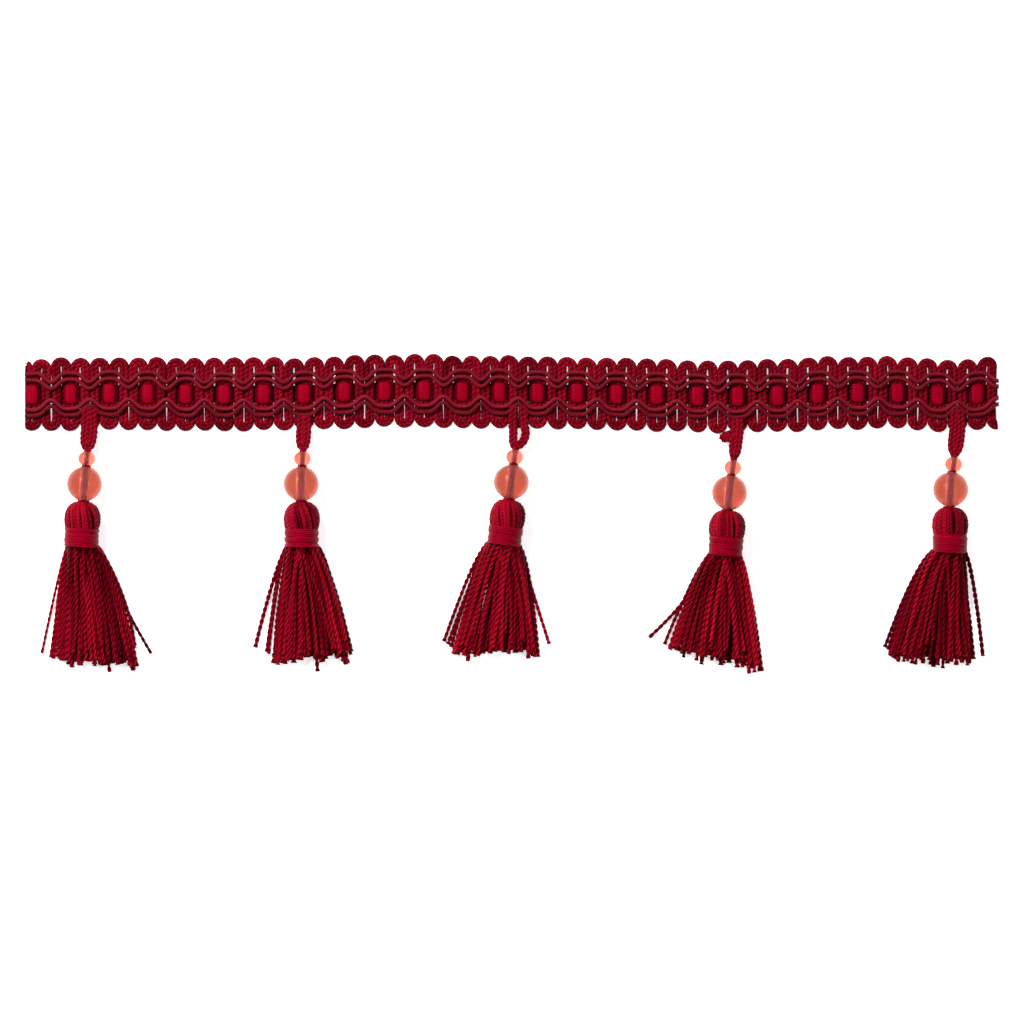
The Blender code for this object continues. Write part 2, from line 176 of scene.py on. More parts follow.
@dataclass(frozen=True)
class YarnFinish:
    """Dyed viscose yarn, bright on the crown of each ply and darkened in the creases between plies by painted
    shade.

    The colour goes from deep to bright with the piece's tone, which differs from strand to strand,
    is mottled along the strand and falls to the crease colour, a painted shade, with the piece's crease
    value.
    """

    name: str
    deep: tuple
    bright: tuple
    # The colour of the painted shade in the creases between plies.
    crease: tuple
    roughness: float = 0.42
    gloss: tuple = (1.0, 0.12, 0.2, 1.0)
    shine: float = 0.05
    fibres_across: float = 9.0
    fibre_bump: float = 0.25
    mottle: float = 0.35

    def make(self) -> bpy.types.Material:
        """Builds the material.

        Returns:
            The new material.
        """
        shader = ShaderTree(self.name)
        uv = shader.node("ShaderNodeUVMap", {}, {})
        stretch = shader.node(
            "ShaderNodeMapping", {}, {"Vector": uv, "Scale": (0.9, self.fibres_across, 1.0)}
        )
        fibres = shader.node("ShaderNodeTexNoise", {}, {"Vector": stretch, "Scale": 1.0, "Detail": 3.0})
        spots = shader.node("ShaderNodeMapping", {}, {"Vector": uv, "Scale": (0.5, 1.0, 1.0)})
        mottle = shader.node("ShaderNodeTexNoise", {}, {"Vector": spots, "Scale": 1.0, "Detail": 2.0})
        tone = shader.attribute("tone") + (mottle - 0.5) * self.mottle + (fibres - 0.5) * 0.5
        dyed = shader.blend(tone.clamped(), self.deep, self.bright)
        # Painted shade: the colour falls to the crease colour as the crease value rises.
        shown = shader.blend(shader.attribute("crease").clamped(), dyed, self.crease)
        bump = shader.node(
            "ShaderNodeBump", {}, {"Height": fibres, "Strength": self.fibre_bump, "Distance": 0.0001}
        )
        values = {
            "Base Color": shown,
            "Roughness": self.roughness + (fibres - 0.5) * 0.25,
            "Normal": bump,
            "Specular Tint": self.gloss,
            "Specular IOR Level": self.shine,
        }
        return shader.finish(shader.node("ShaderNodeBsdfPrincipled", {}, values))


@dataclass(frozen=True)
class WoundFinish:
    """Fine thread wound closely round a core: rings along the piece, seen as faint ribs.

    A wave of the length along the piece makes the ribs, both as a bump and as painted shade that darkens the
    colour between turns, and a noise stretched round it the thread.
    """

    name: str
    deep: tuple
    bright: tuple
    # The colour of the painted shade in the creases.
    crease: tuple
    turns_per_mm: float = 4.0
    rib_bump: float = 0.5
    roughness: float = 0.5
    gloss: tuple = (1.0, 0.25, 0.32, 1.0)

    def make(self) -> bpy.types.Material:
        """Builds the material.

        Returns:
            The new material.
        """
        shader = ShaderTree(self.name)
        uv = shader.node("ShaderNodeUVMap", {}, {})
        split = shader.node("ShaderNodeSeparateXYZ", {}, {"Vector": uv}, 0)
        phase = split * (2 * math.pi * self.turns_per_mm)
        ribs = phase.math("SINE") * 0.5 + 0.5
        stretch = shader.node("ShaderNodeMapping", {}, {"Vector": uv, "Scale": (7.0, 0.8, 1.0)})
        fibres = shader.node("ShaderNodeTexNoise", {}, {"Vector": stretch, "Scale": 1.0, "Detail": 3.0})
        spots = shader.node("ShaderNodeMapping", {}, {"Vector": uv, "Scale": (0.35, 0.7, 1.0)})
        mottle = shader.node("ShaderNodeTexNoise", {}, {"Vector": spots, "Scale": 1.0, "Detail": 2.0})
        # Painted shade: the ribs term makes each turn lighter on its crest and darker between turns.
        tone = shader.attribute("tone") + (fibres - 0.5) * 0.7 + (mottle - 0.5) * 0.6 + (ribs - 0.5) * 0.2
        dyed = shader.blend(tone.clamped(), self.deep, self.bright)
        # Painted shade: the colour falls to the crease colour as the crease value rises.
        shown = shader.blend(shader.attribute("crease").clamped(), dyed, self.crease)
        height = ribs * 0.6 + fibres * 0.4
        bump = shader.node(
            "ShaderNodeBump", {}, {"Height": height, "Strength": self.rib_bump, "Distance": 0.00008}
        )
        values = {
            "Base Color": shown,
            "Roughness": self.roughness + (fibres - 0.5) * 0.2,
            "Normal": bump,
            "Specular Tint": self.gloss,
            "Specular IOR Level": 0.12,
        }
        return shader.finish(shader.node("ShaderNodeBsdfPrincipled", {}, values))


@dataclass(frozen=True)
class BeadFinish:
    """Clear coral acrylic with faint moulding clouds inside, polished outside and frosted in the bore."""

    name: str
    pale: tuple
    strong: tuple
    roughness: float = 0.1
    sheen_of_skin: float = 0.2
    gloss: tuple = (0.2, 0.08, 0.06, 1.0)
    clearness: float = 0.93

    def make(self) -> bpy.types.Material:
        """Builds the material.

        Returns:
            The new material.
        """
        shader = ShaderTree(self.name)
        place = shader.node("ShaderNodeTexCoord", {}, {}, "Object")
        clouds = shader.node("ShaderNodeTexNoise", {}, {"Vector": place, "Scale": 260.0, "Detail": 2.0})
        tint = shader.blend(clouds, self.pale, self.strong)
        marks = shader.node("ShaderNodeTexNoise", {}, {"Vector": place, "Scale": 900.0, "Detail": 3.0})
        values = {
            "Base Color": tint,
            "Roughness": marks * 0.06 + self.roughness,
            "IOR": 1.45,
            "Transmission Weight": self.clearness,
            "Specular IOR Level": self.sheen_of_skin,
            "Specular Tint": self.gloss,
        }
        return shader.finish(shader.node("ShaderNodeBsdfPrincipled", {}, values))


@dataclass
class MeshMaker:
    """Collects grids of points in millimetres and makes one mesh of them."""

    points: list = field(default_factory=list)
    quads: list = field(default_factory=list)
    caps: list = field(default_factory=list)
    uvs: list = field(default_factory=list)
    tones: list = field(default_factory=list)
    creases: list = field(default_factory=list)
    count: int = 0

    def add_tubes(self, rings: Array, length: Array, tone: Array | float, crease: Array | float) -> None:
        """Adds closed tubes.

        Vertex number = first + (tube * rings + ring) * sides + side, and each quad joins side to
        side + 1 and ring to ring + 1. The ends are closed by one face each.

        Args:
            rings: Points, shape (tubes, rings, sides, 3).
            length: Millimetres along each tube, shape (tubes, rings).
            tone: How bright each point's colour is, from its dye and, in some pieces, painted light and
                shade; any shape that fits (tubes, rings, sides).
            crease: How much painted shade each point takes, from how deep in a crease it lies, likewise.
        """
        tubes, steps, sides, _ = rings.shape
        first = self.count + np.arange(tubes)[:, None, None] * steps * sides
        ring = np.arange(steps - 1)[None, :, None] * sides
        side = np.arange(sides)[None, None, :]
        after = (side + 1) % sides
        near_ring = first + ring
        far_ring = near_ring + sides
        corners = (near_ring + side, near_ring + after, far_ring + after, far_ring + side)
        self.quads.append(np.stack(np.broadcast_arrays(*corners), -1).reshape(-1, 4))
        ends = first[:, 0, :] + np.arange(sides)
        self.caps.append(ends[:, ::-1])
        self.caps.append(ends + (steps - 1) * sides)
        around = np.linalg.norm(np.diff(rings, axis=2), axis=-1).sum(2).mean() * sides / (sides - 1)
        across = side * around / sides
        across_after = (side + 1) * around / sides
        near = length[:, :-1, None]
        far = length[:, 1:, None]
        uv = [(near, across), (near, across_after), (far, across_after), (far, across)]
        uv = np.stack([np.stack(np.broadcast_arrays(a, b), -1) for a, b in uv], -2)
        shift = np.arange(tubes)[:, None, None, None, None] * np.array([17.3, 5.1])
        self.uvs.append((uv + shift).reshape(-1, 2))
        self._store(rings, tone, crease)

    def _store(self, points: Array, tone: Array | float, crease: Array | float) -> None:
        """Keeps the points with their tone and crease values.

        Args:
            points: Points, with three numbers along the last axis.
            tone: How bright each point's colour is, from its dye and, in some pieces, painted light and
                shade.
            crease: How much painted shade each point takes, from how deep in a crease it lies.
        """
        shape = points.shape[:-1]
        self.points.append(points.reshape(-1, 3))
        self.tones.append(np.broadcast_to(tone, shape).reshape(-1))
        self.creases.append(np.broadcast_to(crease, shape).reshape(-1))
        self.count += points.reshape(-1, 3).shape[0]

    def build(self, name: str, material: bpy.types.Material) -> bpy.types.Object:
        """Makes the object, with its place in its mesh.

        Args:
            name: The piece's name.
            material: Its finish.

        Returns:
            The new object at the origin.
        """
        mesh = bpy.data.meshes.new(name)
        points = np.concatenate(self.points) * MM
        quads = np.concatenate(self.quads)
        cap_corners = [cap.reshape(-1) for cap in self.caps]
        cap_sizes = [np.full(cap.shape[0], cap.shape[1]) for cap in self.caps]
        corners = np.concatenate([quads.reshape(-1), *cap_corners]).astype(np.int32)
        sizes = np.concatenate([np.full(len(quads), 4), *cap_sizes]).astype(np.int32)
        starts = np.concatenate([[0], np.cumsum(sizes)[:-1]]).astype(np.int32)
        mesh.vertices.add(len(points))
        mesh.vertices.foreach_set("co", points.reshape(-1))
        mesh.loops.add(len(corners))
        mesh.loops.foreach_set("vertex_index", corners)
        mesh.polygons.add(len(sizes))
        mesh.polygons.foreach_set("loop_start", starts)
        mesh.polygons.foreach_set("use_smooth", np.ones(len(sizes), dtype=bool))
        mesh.update(calc_edges=True)
        uv = np.zeros((len(corners), 2))
        wound = np.concatenate(self.uvs)
        uv[: len(wound)] = wound
        layer = mesh.uv_layers.new(name="UVMap")
        layer.data.foreach_set("uv", uv.reshape(-1).astype(np.float32))
        # The crease value sets each point's painted shade.
        for key, values in (("tone", self.tones), ("crease", self.creases)):
            store = mesh.attributes.new(key, "FLOAT", "POINT")
            store.data.foreach_set("value", np.concatenate(values).astype(np.float32))
        mesh.validate()
        obj = bpy.data.objects.new(name, mesh)
        bpy.context.scene.collection.objects.link(obj)
        mesh.materials.append(material)
        return obj


def unit(vectors: Array) -> Array:
    """Each vector divided by its length."""
    return vectors / np.maximum(np.linalg.norm(vectors, axis=-1, keepdims=True), 1e-9)


def arc_length(path: Array) -> Array:
    """Millimetres along a path at each of its points, by adding up the steps between them.

    Args:
        path: Points, shape (..., points, 3).

    Returns:
        The lengths, starting from 0.
    """
    steps = np.linalg.norm(np.diff(path, axis=-2), axis=-1)
    start = np.zeros(path.shape[:-2] + (1,))
    return np.concatenate([start, np.cumsum(steps, axis=-1)], axis=-1)


def resample(path: Array, step: float) -> Array:
    """The path with evenly spaced points about one step apart.

    Args:
        path: Points, shape (points, 3).
        step: Millimetres.

    Returns:
        The new points.
    """
    along = arc_length(path)
    even = np.linspace(0.0, along[-1], max(int(round(along[-1] / step)), 2) + 1)
    return np.stack([np.interp(even, along, path[:, axis]) for axis in range(3)], -1)


def soften(path: Array, times: int) -> Array:
    """The path with each inner point moved to the mean of its neighbours and itself, some times over.

    Args:
        path: Points, shape (points, 3).
        times: How often it is done.

    Returns:
        The new points.
    """
    for _ in range(times):
        middle = (path[:-2] + 2 * path[1:-1] + path[2:]) / 4
        path = np.concatenate([path[:1], middle, path[-1:]])
    return path


def frames(path: Array, outward: Array | None = None) -> tuple[Array, Array]:
    """The side and up directions at each point of some paths.

    side = up x tangent, with up the part of the outward direction (+Z unless given) at right
    angles to the tangent, so that (side, up, tangent) is right-handed.

    Args:
        path: Points, shape (paths, points, 3).
        outward: The direction that up leans to, likewise.

    Returns:
        The two directions, likewise.
    """
    tangent = unit(np.gradient(path, axis=-2))
    lean = np.array([0.0, 0.0, 1.0]) if outward is None else outward
    side = unit(np.cross(np.broadcast_to(lean, path.shape), tangent))
    return side, np.cross(tangent, side)


@dataclass(frozen=True)
class Ply:
    """The form of a twisted strand of two plies.

    Its section is r = radius * (1 - depth * (1 - |cos a|)), with a turning once in each pitch, so
    that the two creases wind round the strand as a right-handed helix.
    """

    radius: float
    pitch: float
    depth: float = 0.4
    sides: int = 8
    flat: float = 1.0

    def rings(
        self, path: Array, start: Array | float, outward: Array | None = None, swell: Array | float = 1.0
    ) -> tuple[Array, Array, Array]:
        """Carries the section along some paths.

        Args:
            path: Points, shape (strands, points, 3).
            start: The angle at which each strand's twist starts, shape (strands, 1, 1).
            outward: The direction that the strand's upper side faces.
            swell: The radius at each point as a share of the strand's own.

        Returns:
            The rings, the length along each strand, and how deep in a crease each point lies, which sets its
            painted shade.
        """
        side, up = frames(path, outward)
        along = arc_length(path)
        angle = np.arange(self.sides) * 2 * math.pi / self.sides
        radius = self.radius * (1 - self.depth * (1 - np.abs(np.cos(angle))))
        turned = angle + 2 * math.pi * along[..., None] / self.pitch + start
        across = (radius * np.cos(turned))[..., None] * side[..., None, :]
        over = (radius * self.flat * np.sin(turned))[..., None] * up[..., None, :]
        swell = np.broadcast_to(swell, path.shape[:-1])[..., None, None]
        rings = path[..., None, :] + (across + over) * swell
        # Highest in the creases between the plies, where the finish paints shade.
        crease = np.broadcast_to((1 - np.abs(np.cos(angle))) ** 1.5, rings.shape[:-1])
        return rings, along, crease


def round_rings(
    path: Array, radius: Array | float, sides: int, outward: Array | None = None
) -> tuple[Array, Array]:
    """Carries a circle along some paths: centre + radius * (cos a * side + sin a * up).

    Args:
        path: Points, shape (tubes, points, 3).
        radius: One number or one for each point.
        sides: Points round the circle.
        outward: The direction that the tube's upper side faces.

    Returns:
        The rings and the length along each tube.
    """
    side, up = frames(path, outward)
    angle = np.arange(sides) * 2 * math.pi / sides
    wide = np.broadcast_to(radius, path.shape[:-1])[..., None, None]
    ring = np.cos(angle)[:, None] * side[..., None, :] + np.sin(angle)[:, None] * up[..., None, :]
    return path[..., None, :] + wide * ring, arc_length(path)


def dress(obj: bpy.types.Object, slot: Slot, *nodes: str) -> bpy.types.Object:
    """Rides a piece on the trim and hides the CAD nodes that it stands for.

    Args:
        obj: The piece.
        slot: Its material slot; not used.
        nodes: The CAD nodes that it stands for, if any.

    Returns:
        The same piece.
    """
    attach(obj, "root")
    if nodes:
        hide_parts(*nodes)
    log.info("%s: %d faces", obj.name, len(obj.data.polygons))
    return obj


@dataclass(frozen=True)
class Stray:
    """How far the braid strays at one place along it, in millimetres."""

    x: float
    offset: float


def ease_between(table: tuple[Stray, ...], x: Array) -> Array:
    """How far the braid strays at x: t * t * (3 - 2 t) from each row of the table to the next.

    Args:
        table: Rows in order of x.
        x: Millimetres along the braid.

    Returns:
        Millimetres at each x.
    """
    places = np.array([row.x for row in table])
    offsets = np.array([row.offset for row in table])
    row = np.clip(np.searchsorted(places, x) - 1, 0, len(places) - 2)
    share = np.clip((x - places[row]) / (places[row + 1] - places[row]), 0.0, 1.0)
    share = share * share * (3 - 2 * share)
    return offsets[row] + (offsets[row + 1] - offsets[row]) * share


@dataclass
class BraidLay:
    """Where the braid lies: its sizes, its pattern's pitch and how it strays."""

    length: float = 263.0
    pitch: float = 5.316
    first_window: float = -129.6
    picots: int = 49
    centre_y: float = 31.1
    sway: tuple[Stray, ...] = (
        Stray(-131.5, -0.2),
        Stray(-107.0, 0.2),
        Stray(-75.0, -0.05),
        Stray(-58.0, 0.05),
        Stray(-42.0, 0.7),
        Stray(-26.0, 1.0),
        Stray(-8.0, 0.6),
        Stray(15.0, 0.3),
        Stray(38.0, -0.15),
        Stray(56.0, -0.65),
        Stray(72.0, -0.45),
        Stray(88.0, 0.35),
        Stray(103.0, 0.4),
        Stray(119.0, -0.45),
        Stray(131.5, 0.5),
    )
    drift: tuple[Stray, ...] = (
        Stray(-129.6, 0.0),
        Stray(-108.3, -0.4),
        Stray(-76.4, -1.3),
        Stray(-23.3, -0.4),
        Stray(8.6, -1.7),
        Stray(29.9, -1.65),
        Stray(61.8, -0.9),
        Stray(93.7, -0.35),
        Stray(125.5, 0.0),
    )

    def place(self, x: Array, across: Array, z: Array) -> Array:
        """Points of an even braid moved to where the real one lies.

        Args:
            x: Millimetres along an even braid.
            across: Millimetres above its centre line in the plane.
            z: Height.

        Returns:
            Points, with the three numbers along a last axis.
        """
        x, across, z = np.broadcast_arrays(np.asarray(x, dtype=float), across, z)
        along = x + ease_between(self.drift, x)
        aside = self.centre_y + ease_between(self.sway, x) + across
        return np.stack([along, aside, z], -1)

    def shadow(self, points: Array) -> Array:
        """How deep points lie in the shadow beside a window's floss, from 0 to 1.

        It is exp(-((|d| - 2.4) / 0.6)^2) of the distance d along the braid from the window's
        middle, and falls away past 2.9 mm from the centre line as 1 / (1 + (across / 2.9)^8).

        Args:
            points: Points, with three numbers along the last axis.

        Returns:
            The share at each point.
        """
        x = points[..., 0] - ease_between(self.drift, points[..., 0])
        across = points[..., 1] - self.centre_y - ease_between(self.sway, x)
        beside = np.exp(-(((np.abs(self.window_distance(x)) - 2.4) / 0.6) ** 2))
        return beside / (1 + (across / 2.9) ** 8)

    @property
    def ends(self) -> tuple[float, float]:
        """The x of the two cut ends."""
        return -self.length / 2, self.length / 2

    def window_distance(self, x: Array) -> Array:
        """Millimetres along the braid from x to the nearest window's middle."""
        return (x - self.first_window + self.pitch) % (2 * self.pitch) - self.pitch

    def bump_at_windows(self, x: Array) -> Array:
        """cos squared: 1 in the middle of a window and 0 at a waist."""
        return (1 + np.cos(math.pi * (x - self.first_window) / self.pitch)) / 2


@dataclass
class Braid:
    """The scroll braid: ground cord, ribbon and scroll cords."""

    lay: BraidLay
    ground_finish: bpy.types.Material
    floss_finish: bpy.types.Material
    gimp_finish: bpy.types.Material
    picot_radius: float = 1.47
    picot_reach: float = 8.9
    strand_offset: float = 0.6
    strand: Ply = Ply(radius=0.76, pitch=2.6, depth=0.27, flat=0.8)
    strand_step: float = 0.42
    leg_bow: float = 0.2
    ground_z: float = 0.54
    raised_z: float = 1.3
    ribbon_half: float = 2.65
    ribbon_threads: int = 11
    scroll_radius: float = 0.57
    scroll_window: float = 4.05
    scroll_waist: float = 1.42
    scroll_spacing: float = 1.62

    def ground_path(self) -> Array:
        """The zigzag of the ground cord's middle.

        Each turn is a flattened arc of the picot's radius, high on its left, and each leg a straight
        line between two turns. A leg is bowed away from the waist by bow * (1 - t^4), drawn in near
        the upper edge by 0.26 / (1 + exp(3 - y)), and lifted over the ribbon at a waist by the share
        1 / (1 + (y / 3.6)^6), with t from -1 to 1 and y across the braid.

        Returns:
            Points of an even braid, shape (points, 3).
        """
        rng = np.random.default_rng(5)
        turn = np.linspace(-0.3, math.pi + 0.3, 11)
        leg = np.linspace(-0.82, 0.82, 15)
        reach = self.picot_reach - self.picot_radius
        pieces = []
        for index in range(-1, 2 * self.lay.picots + 2):
            lower = index % 2 == 0
            x = self.lay.first_window + index * self.lay.pitch / 2
            side = -1.0 if lower else 1.0
            radius = self.picot_radius * rng.uniform(0.94, 1.06)
            tip = reach + rng.uniform(-0.2, 0.2)
            lean = rng.uniform(-0.25, 0.25)
            turn_x = x - radius * np.cos(turn) + lean * np.sin(turn)
            turn_y = side * (tip + 0.85 * radius * np.sin(turn))
            turn_z = self.ground_z + 0.12 + 0.26 * np.cos(turn)
            pieces.append(np.stack([turn_x, turn_y, turn_z], -1))
            waist = (index + 1) // 2 % 2 == 1
            bow = self.leg_bow * rng.uniform(-0.2, 1.3) if waist else -0.1
            leg_y = -side * leg * reach
            tight = -0.26 / (1 + np.exp(-(leg_y - 3.0)))
            away = (bow + tight) * (1.0 if lower else -1.0)
            lift = 1 / (1 + (leg_y / 3.6) ** 6) if waist else 0 * leg
            leg_z = self.ground_z + (self.raised_z - self.ground_z) * lift
            pieces.append(np.stack([x + self.lay.pitch / 4 + away * (1 - leg**4), leg_y, leg_z], -1))
        return np.concatenate(pieces)

    def runs(self, path: Array) -> list[Array]:
        """The parts of a strand's path that lie between the braid's two cut ends.

        Args:
            path: Points, shape (points, 3).

        Returns:
            The parts, each with more than five points.
        """
        start, end = self.lay.ends
        inside = (path[:, 0] > start + 0.35) & (path[:, 0] < end - 0.35)
        parts = np.split(path, np.flatnonzero(np.diff(inside)) + 1)
        kept = np.split(inside, np.flatnonzero(np.diff(inside)) + 1)
        return [part for part, flag in zip(parts, kept) if flag[0] and len(part) > 5]

    def make_ground(self) -> bpy.types.Object:
        """The two strands of the ground cord, side by side: path +- offset * side.

        Returns:
            The new object.
        """
        even = soften(resample(self.ground_path(), self.strand_step), 2)
        middle = self.lay.place(even[:, 0], even[:, 1], even[:, 2])[None]
        side, _ = frames(middle)
        maker = MeshMaker()
        rng = np.random.default_rng(8)
        for sign in (-1.0, 1.0):
            for path in self.runs((middle + side * self.strand_offset * sign)[0]):
                knots = np.arange(0, len(path) + 30, 30)
                wander = np.interp(np.arange(len(path)), knots, rng.normal(0, 1, len(knots)))
                rings, along, crease = self.strand.rings(path[None], 1.3 * sign)
                rings[..., 2] = np.maximum(rings[..., 2], 0.02)
                rings[..., 0] = np.clip(rings[..., 0], *self.lay.ends)
                tone = 0.42 + 0.16 * wander[None, :, None]
                # Painted shade: the strands are darkened in their creases and in the shadow beside each
                # window's floss.
                crease = np.maximum(crease * 0.85, 0.8 * self.lay.shadow(rings))
                maker.add_tubes(rings, along, tone, crease)
        return maker.build("ground_cord_strands", self.ground_finish)

    def make_shade_blade(self) -> bpy.types.Object:
        """The ground cord's dark core: a flat blade of yarn in which its two strands lie bedded, coloured in
        painted shade so that the gaps between them show dark.

        Returns:
            The new object.
        """
        even = soften(resample(self.ground_path(), 1.4 * self.strand_step), 1)
        middle = self.lay.place(even[:, 0], even[:, 1], even[:, 2] - 0.1)
        blade = Ply(radius=1.31, pitch=1e6, depth=0.0, sides=4, flat=0.2)
        maker = MeshMaker()
        for path in self.runs(middle):
            rings, along, _ = blade.rings(path[None], 0.0)
            rings[..., 0] = np.clip(rings[..., 0], *self.lay.ends)
            # Painted shade: tone 0 and a crease value of 0.8 give the blade the dark colour of shade between
            # the strands.
            maker.add_tubes(rings, along, 0.0, 0.8)
        return maker.build("ground_cord_shade_blade", self.ground_finish)

    def make_ribbon(self) -> bpy.types.Object:
        """The satin ribbon: a flat oval of fine ridges, high in each window and low at each waist.

        z = low + (high - low) * w, where w is a steepened window wave, and the ridges are
        h * |sin(pi * threads * (v + 1) / 2)| with v from -1 to 1 across the top.

        Returns:
            The new object.
        """
        start, end = self.lay.ends
        x = np.arange(start, end + 0.01, 0.52)
        top = np.linspace(-1.0, 1.0, self.ribbon_threads * 5 + 1)
        under = np.linspace(1.0, -1.0, 12)[1:-1]
        swell = self.lay.bump_at_windows(x)
        wave = np.clip((swell - 0.52) / 0.4, 0.0, 1.0)
        wave = wave * wave * (3 - 2 * wave)
        middle_z = 0.3 + 1.05 * wave
        half = self.ribbon_half * (0.86 + 0.14 * wave)
        thick = 0.2 + 0.42 * wave
        rng = np.random.default_rng(3)
        places = np.arange(start, end + 8, 4.0)
        wobble = np.interp(x, places, rng.normal(0, 0.012, len(places)))
        spread = top[None] * (1 + wobble[:, None]) + 0.04 * np.sin(x * 1.7)[:, None]
        ridge = np.abs(np.sin(math.pi * self.ribbon_threads * (spread + 1) / 2))
        crown = np.sqrt(np.clip(1 - np.abs(top) ** 2.6, 0.0, 1.0))
        top_y = half[:, None] * top[None]
        top_z = middle_z[:, None] + thick[:, None] * crown[None] + 0.09 * (ridge - 0.5) * crown[None]
        under_y = half[:, None] * under[None]
        dip = np.sqrt(np.clip(1 - np.abs(under) ** 2.6, 0.0, 1.0))
        under_z = middle_z[:, None] - 0.2 * dip[None]
        y = np.concatenate([top_y, under_y], 1)
        z = np.maximum(np.concatenate([top_z, under_z], 1), 0.03)
        rings = self.lay.place(x[:, None], y, z)[None]
        along = (x - start)[None]
        # Painted shade: the floss is darkened between its threads.
        crease = np.concatenate([0.5 * (1 - ridge) ** 1.5, np.zeros_like(under_y)], 1)
        # Painted shadow: the floss is darkened at the sides of each window, where it dips under the legs,
        # leaving a bright lozenge in the middle.
        from_middle = np.abs(self.lay.window_distance(x) / 1.75)[:, None]
        lozenge = from_middle**3 + np.abs(np.concatenate([top, under])) ** 5
        painted_dip_shadow = 0.85 * np.clip(lozenge - 0.35, 0.0, 1.0)
        maker = MeshMaker()
        maker.add_tubes(rings[:, :, ::-1], along, 0.62, np.clip(crease + painted_dip_shadow, 0, 1)[None, :, ::-1])
        return maker.build("satin_ribbon_floss", self.floss_finish)

    def make_scroll(self, side: float, outer: bool) -> bpy.types.Object:
        """One scroll cord.

        Its distance from the centre line is waist + (window - waist) * (1 - (1 - c)^p), with c the
        window wave, and it climbs over the raised legs of the ground at each waist.

        Args:
            side: 1 for the upper edge, -1 for the lower.
            outer: Whether it is the cord that lies nearer the edge.

        Returns:
            The new object.
        """
        start, end = self.lay.ends
        x = np.arange(start, end + 0.01, 0.3)
        swell = self.lay.bump_at_windows(x)
        power = 2.3 if outer else 1.9
        shape = 1 - (1 - swell) ** power
        away = self.scroll_waist + (self.scroll_window - self.scroll_waist) * shape
        rng = np.random.default_rng(20 + int(side) + 5 * outer)
        knots = np.arange(start - 4, end + 8, 3.5)
        wobble = np.interp(x, knots, rng.normal(0, 0.1, len(knots)))
        away = away + (self.scroll_spacing if outer else 0.0) + wobble
        z = 1.75 + 0.7 * (1 - shape) - (0.1 * shape if outer else 0.0)
        path = soften(resample(self.lay.place(x, side * away, z), 0.38), 3)[None]
        rings, along = round_rings(path, self.scroll_radius, 10)
        # Painted light: each cord's upper side is painted lighter and its under side darker.
        up = np.sin(np.arange(10) * 2 * math.pi / 10)
        tone = 0.5 + 0.12 * rng.standard_normal() + 0.1 * up
        maker = MeshMaker()
        maker.add_tubes(rings, along, tone, 0.0)
        level = "upper" if side > 0 else "lower"
        place = "outer" if outer else "inner"
        return maker.build(f"scroll_cord_{level}_{place}_gimp", self.gimp_finish)

    def build(self, hung: list[bpy.types.Object]) -> None:
        """Makes and dresses the braid.

        Args:
            hung: The pieces that hang on the braid; not used.
        """
        ground = dress(self.make_ground(), Slot.GROUND, "ground_cord")
        ribbon = dress(self.make_ribbon(), Slot.FLOSS, "satin_ribbon")
        cords = [dress(self.make_shade_blade(), Slot.GROUND)]
        for level, side in (("upper", 1.0), ("lower", -1.0)):
            for place, outer in (("inner", False), ("outer", True)):
                cord = self.make_scroll(side, outer)
                cords.append(dress(cord, Slot.GIMP, f"scroll_cord_{level}_{place}"))


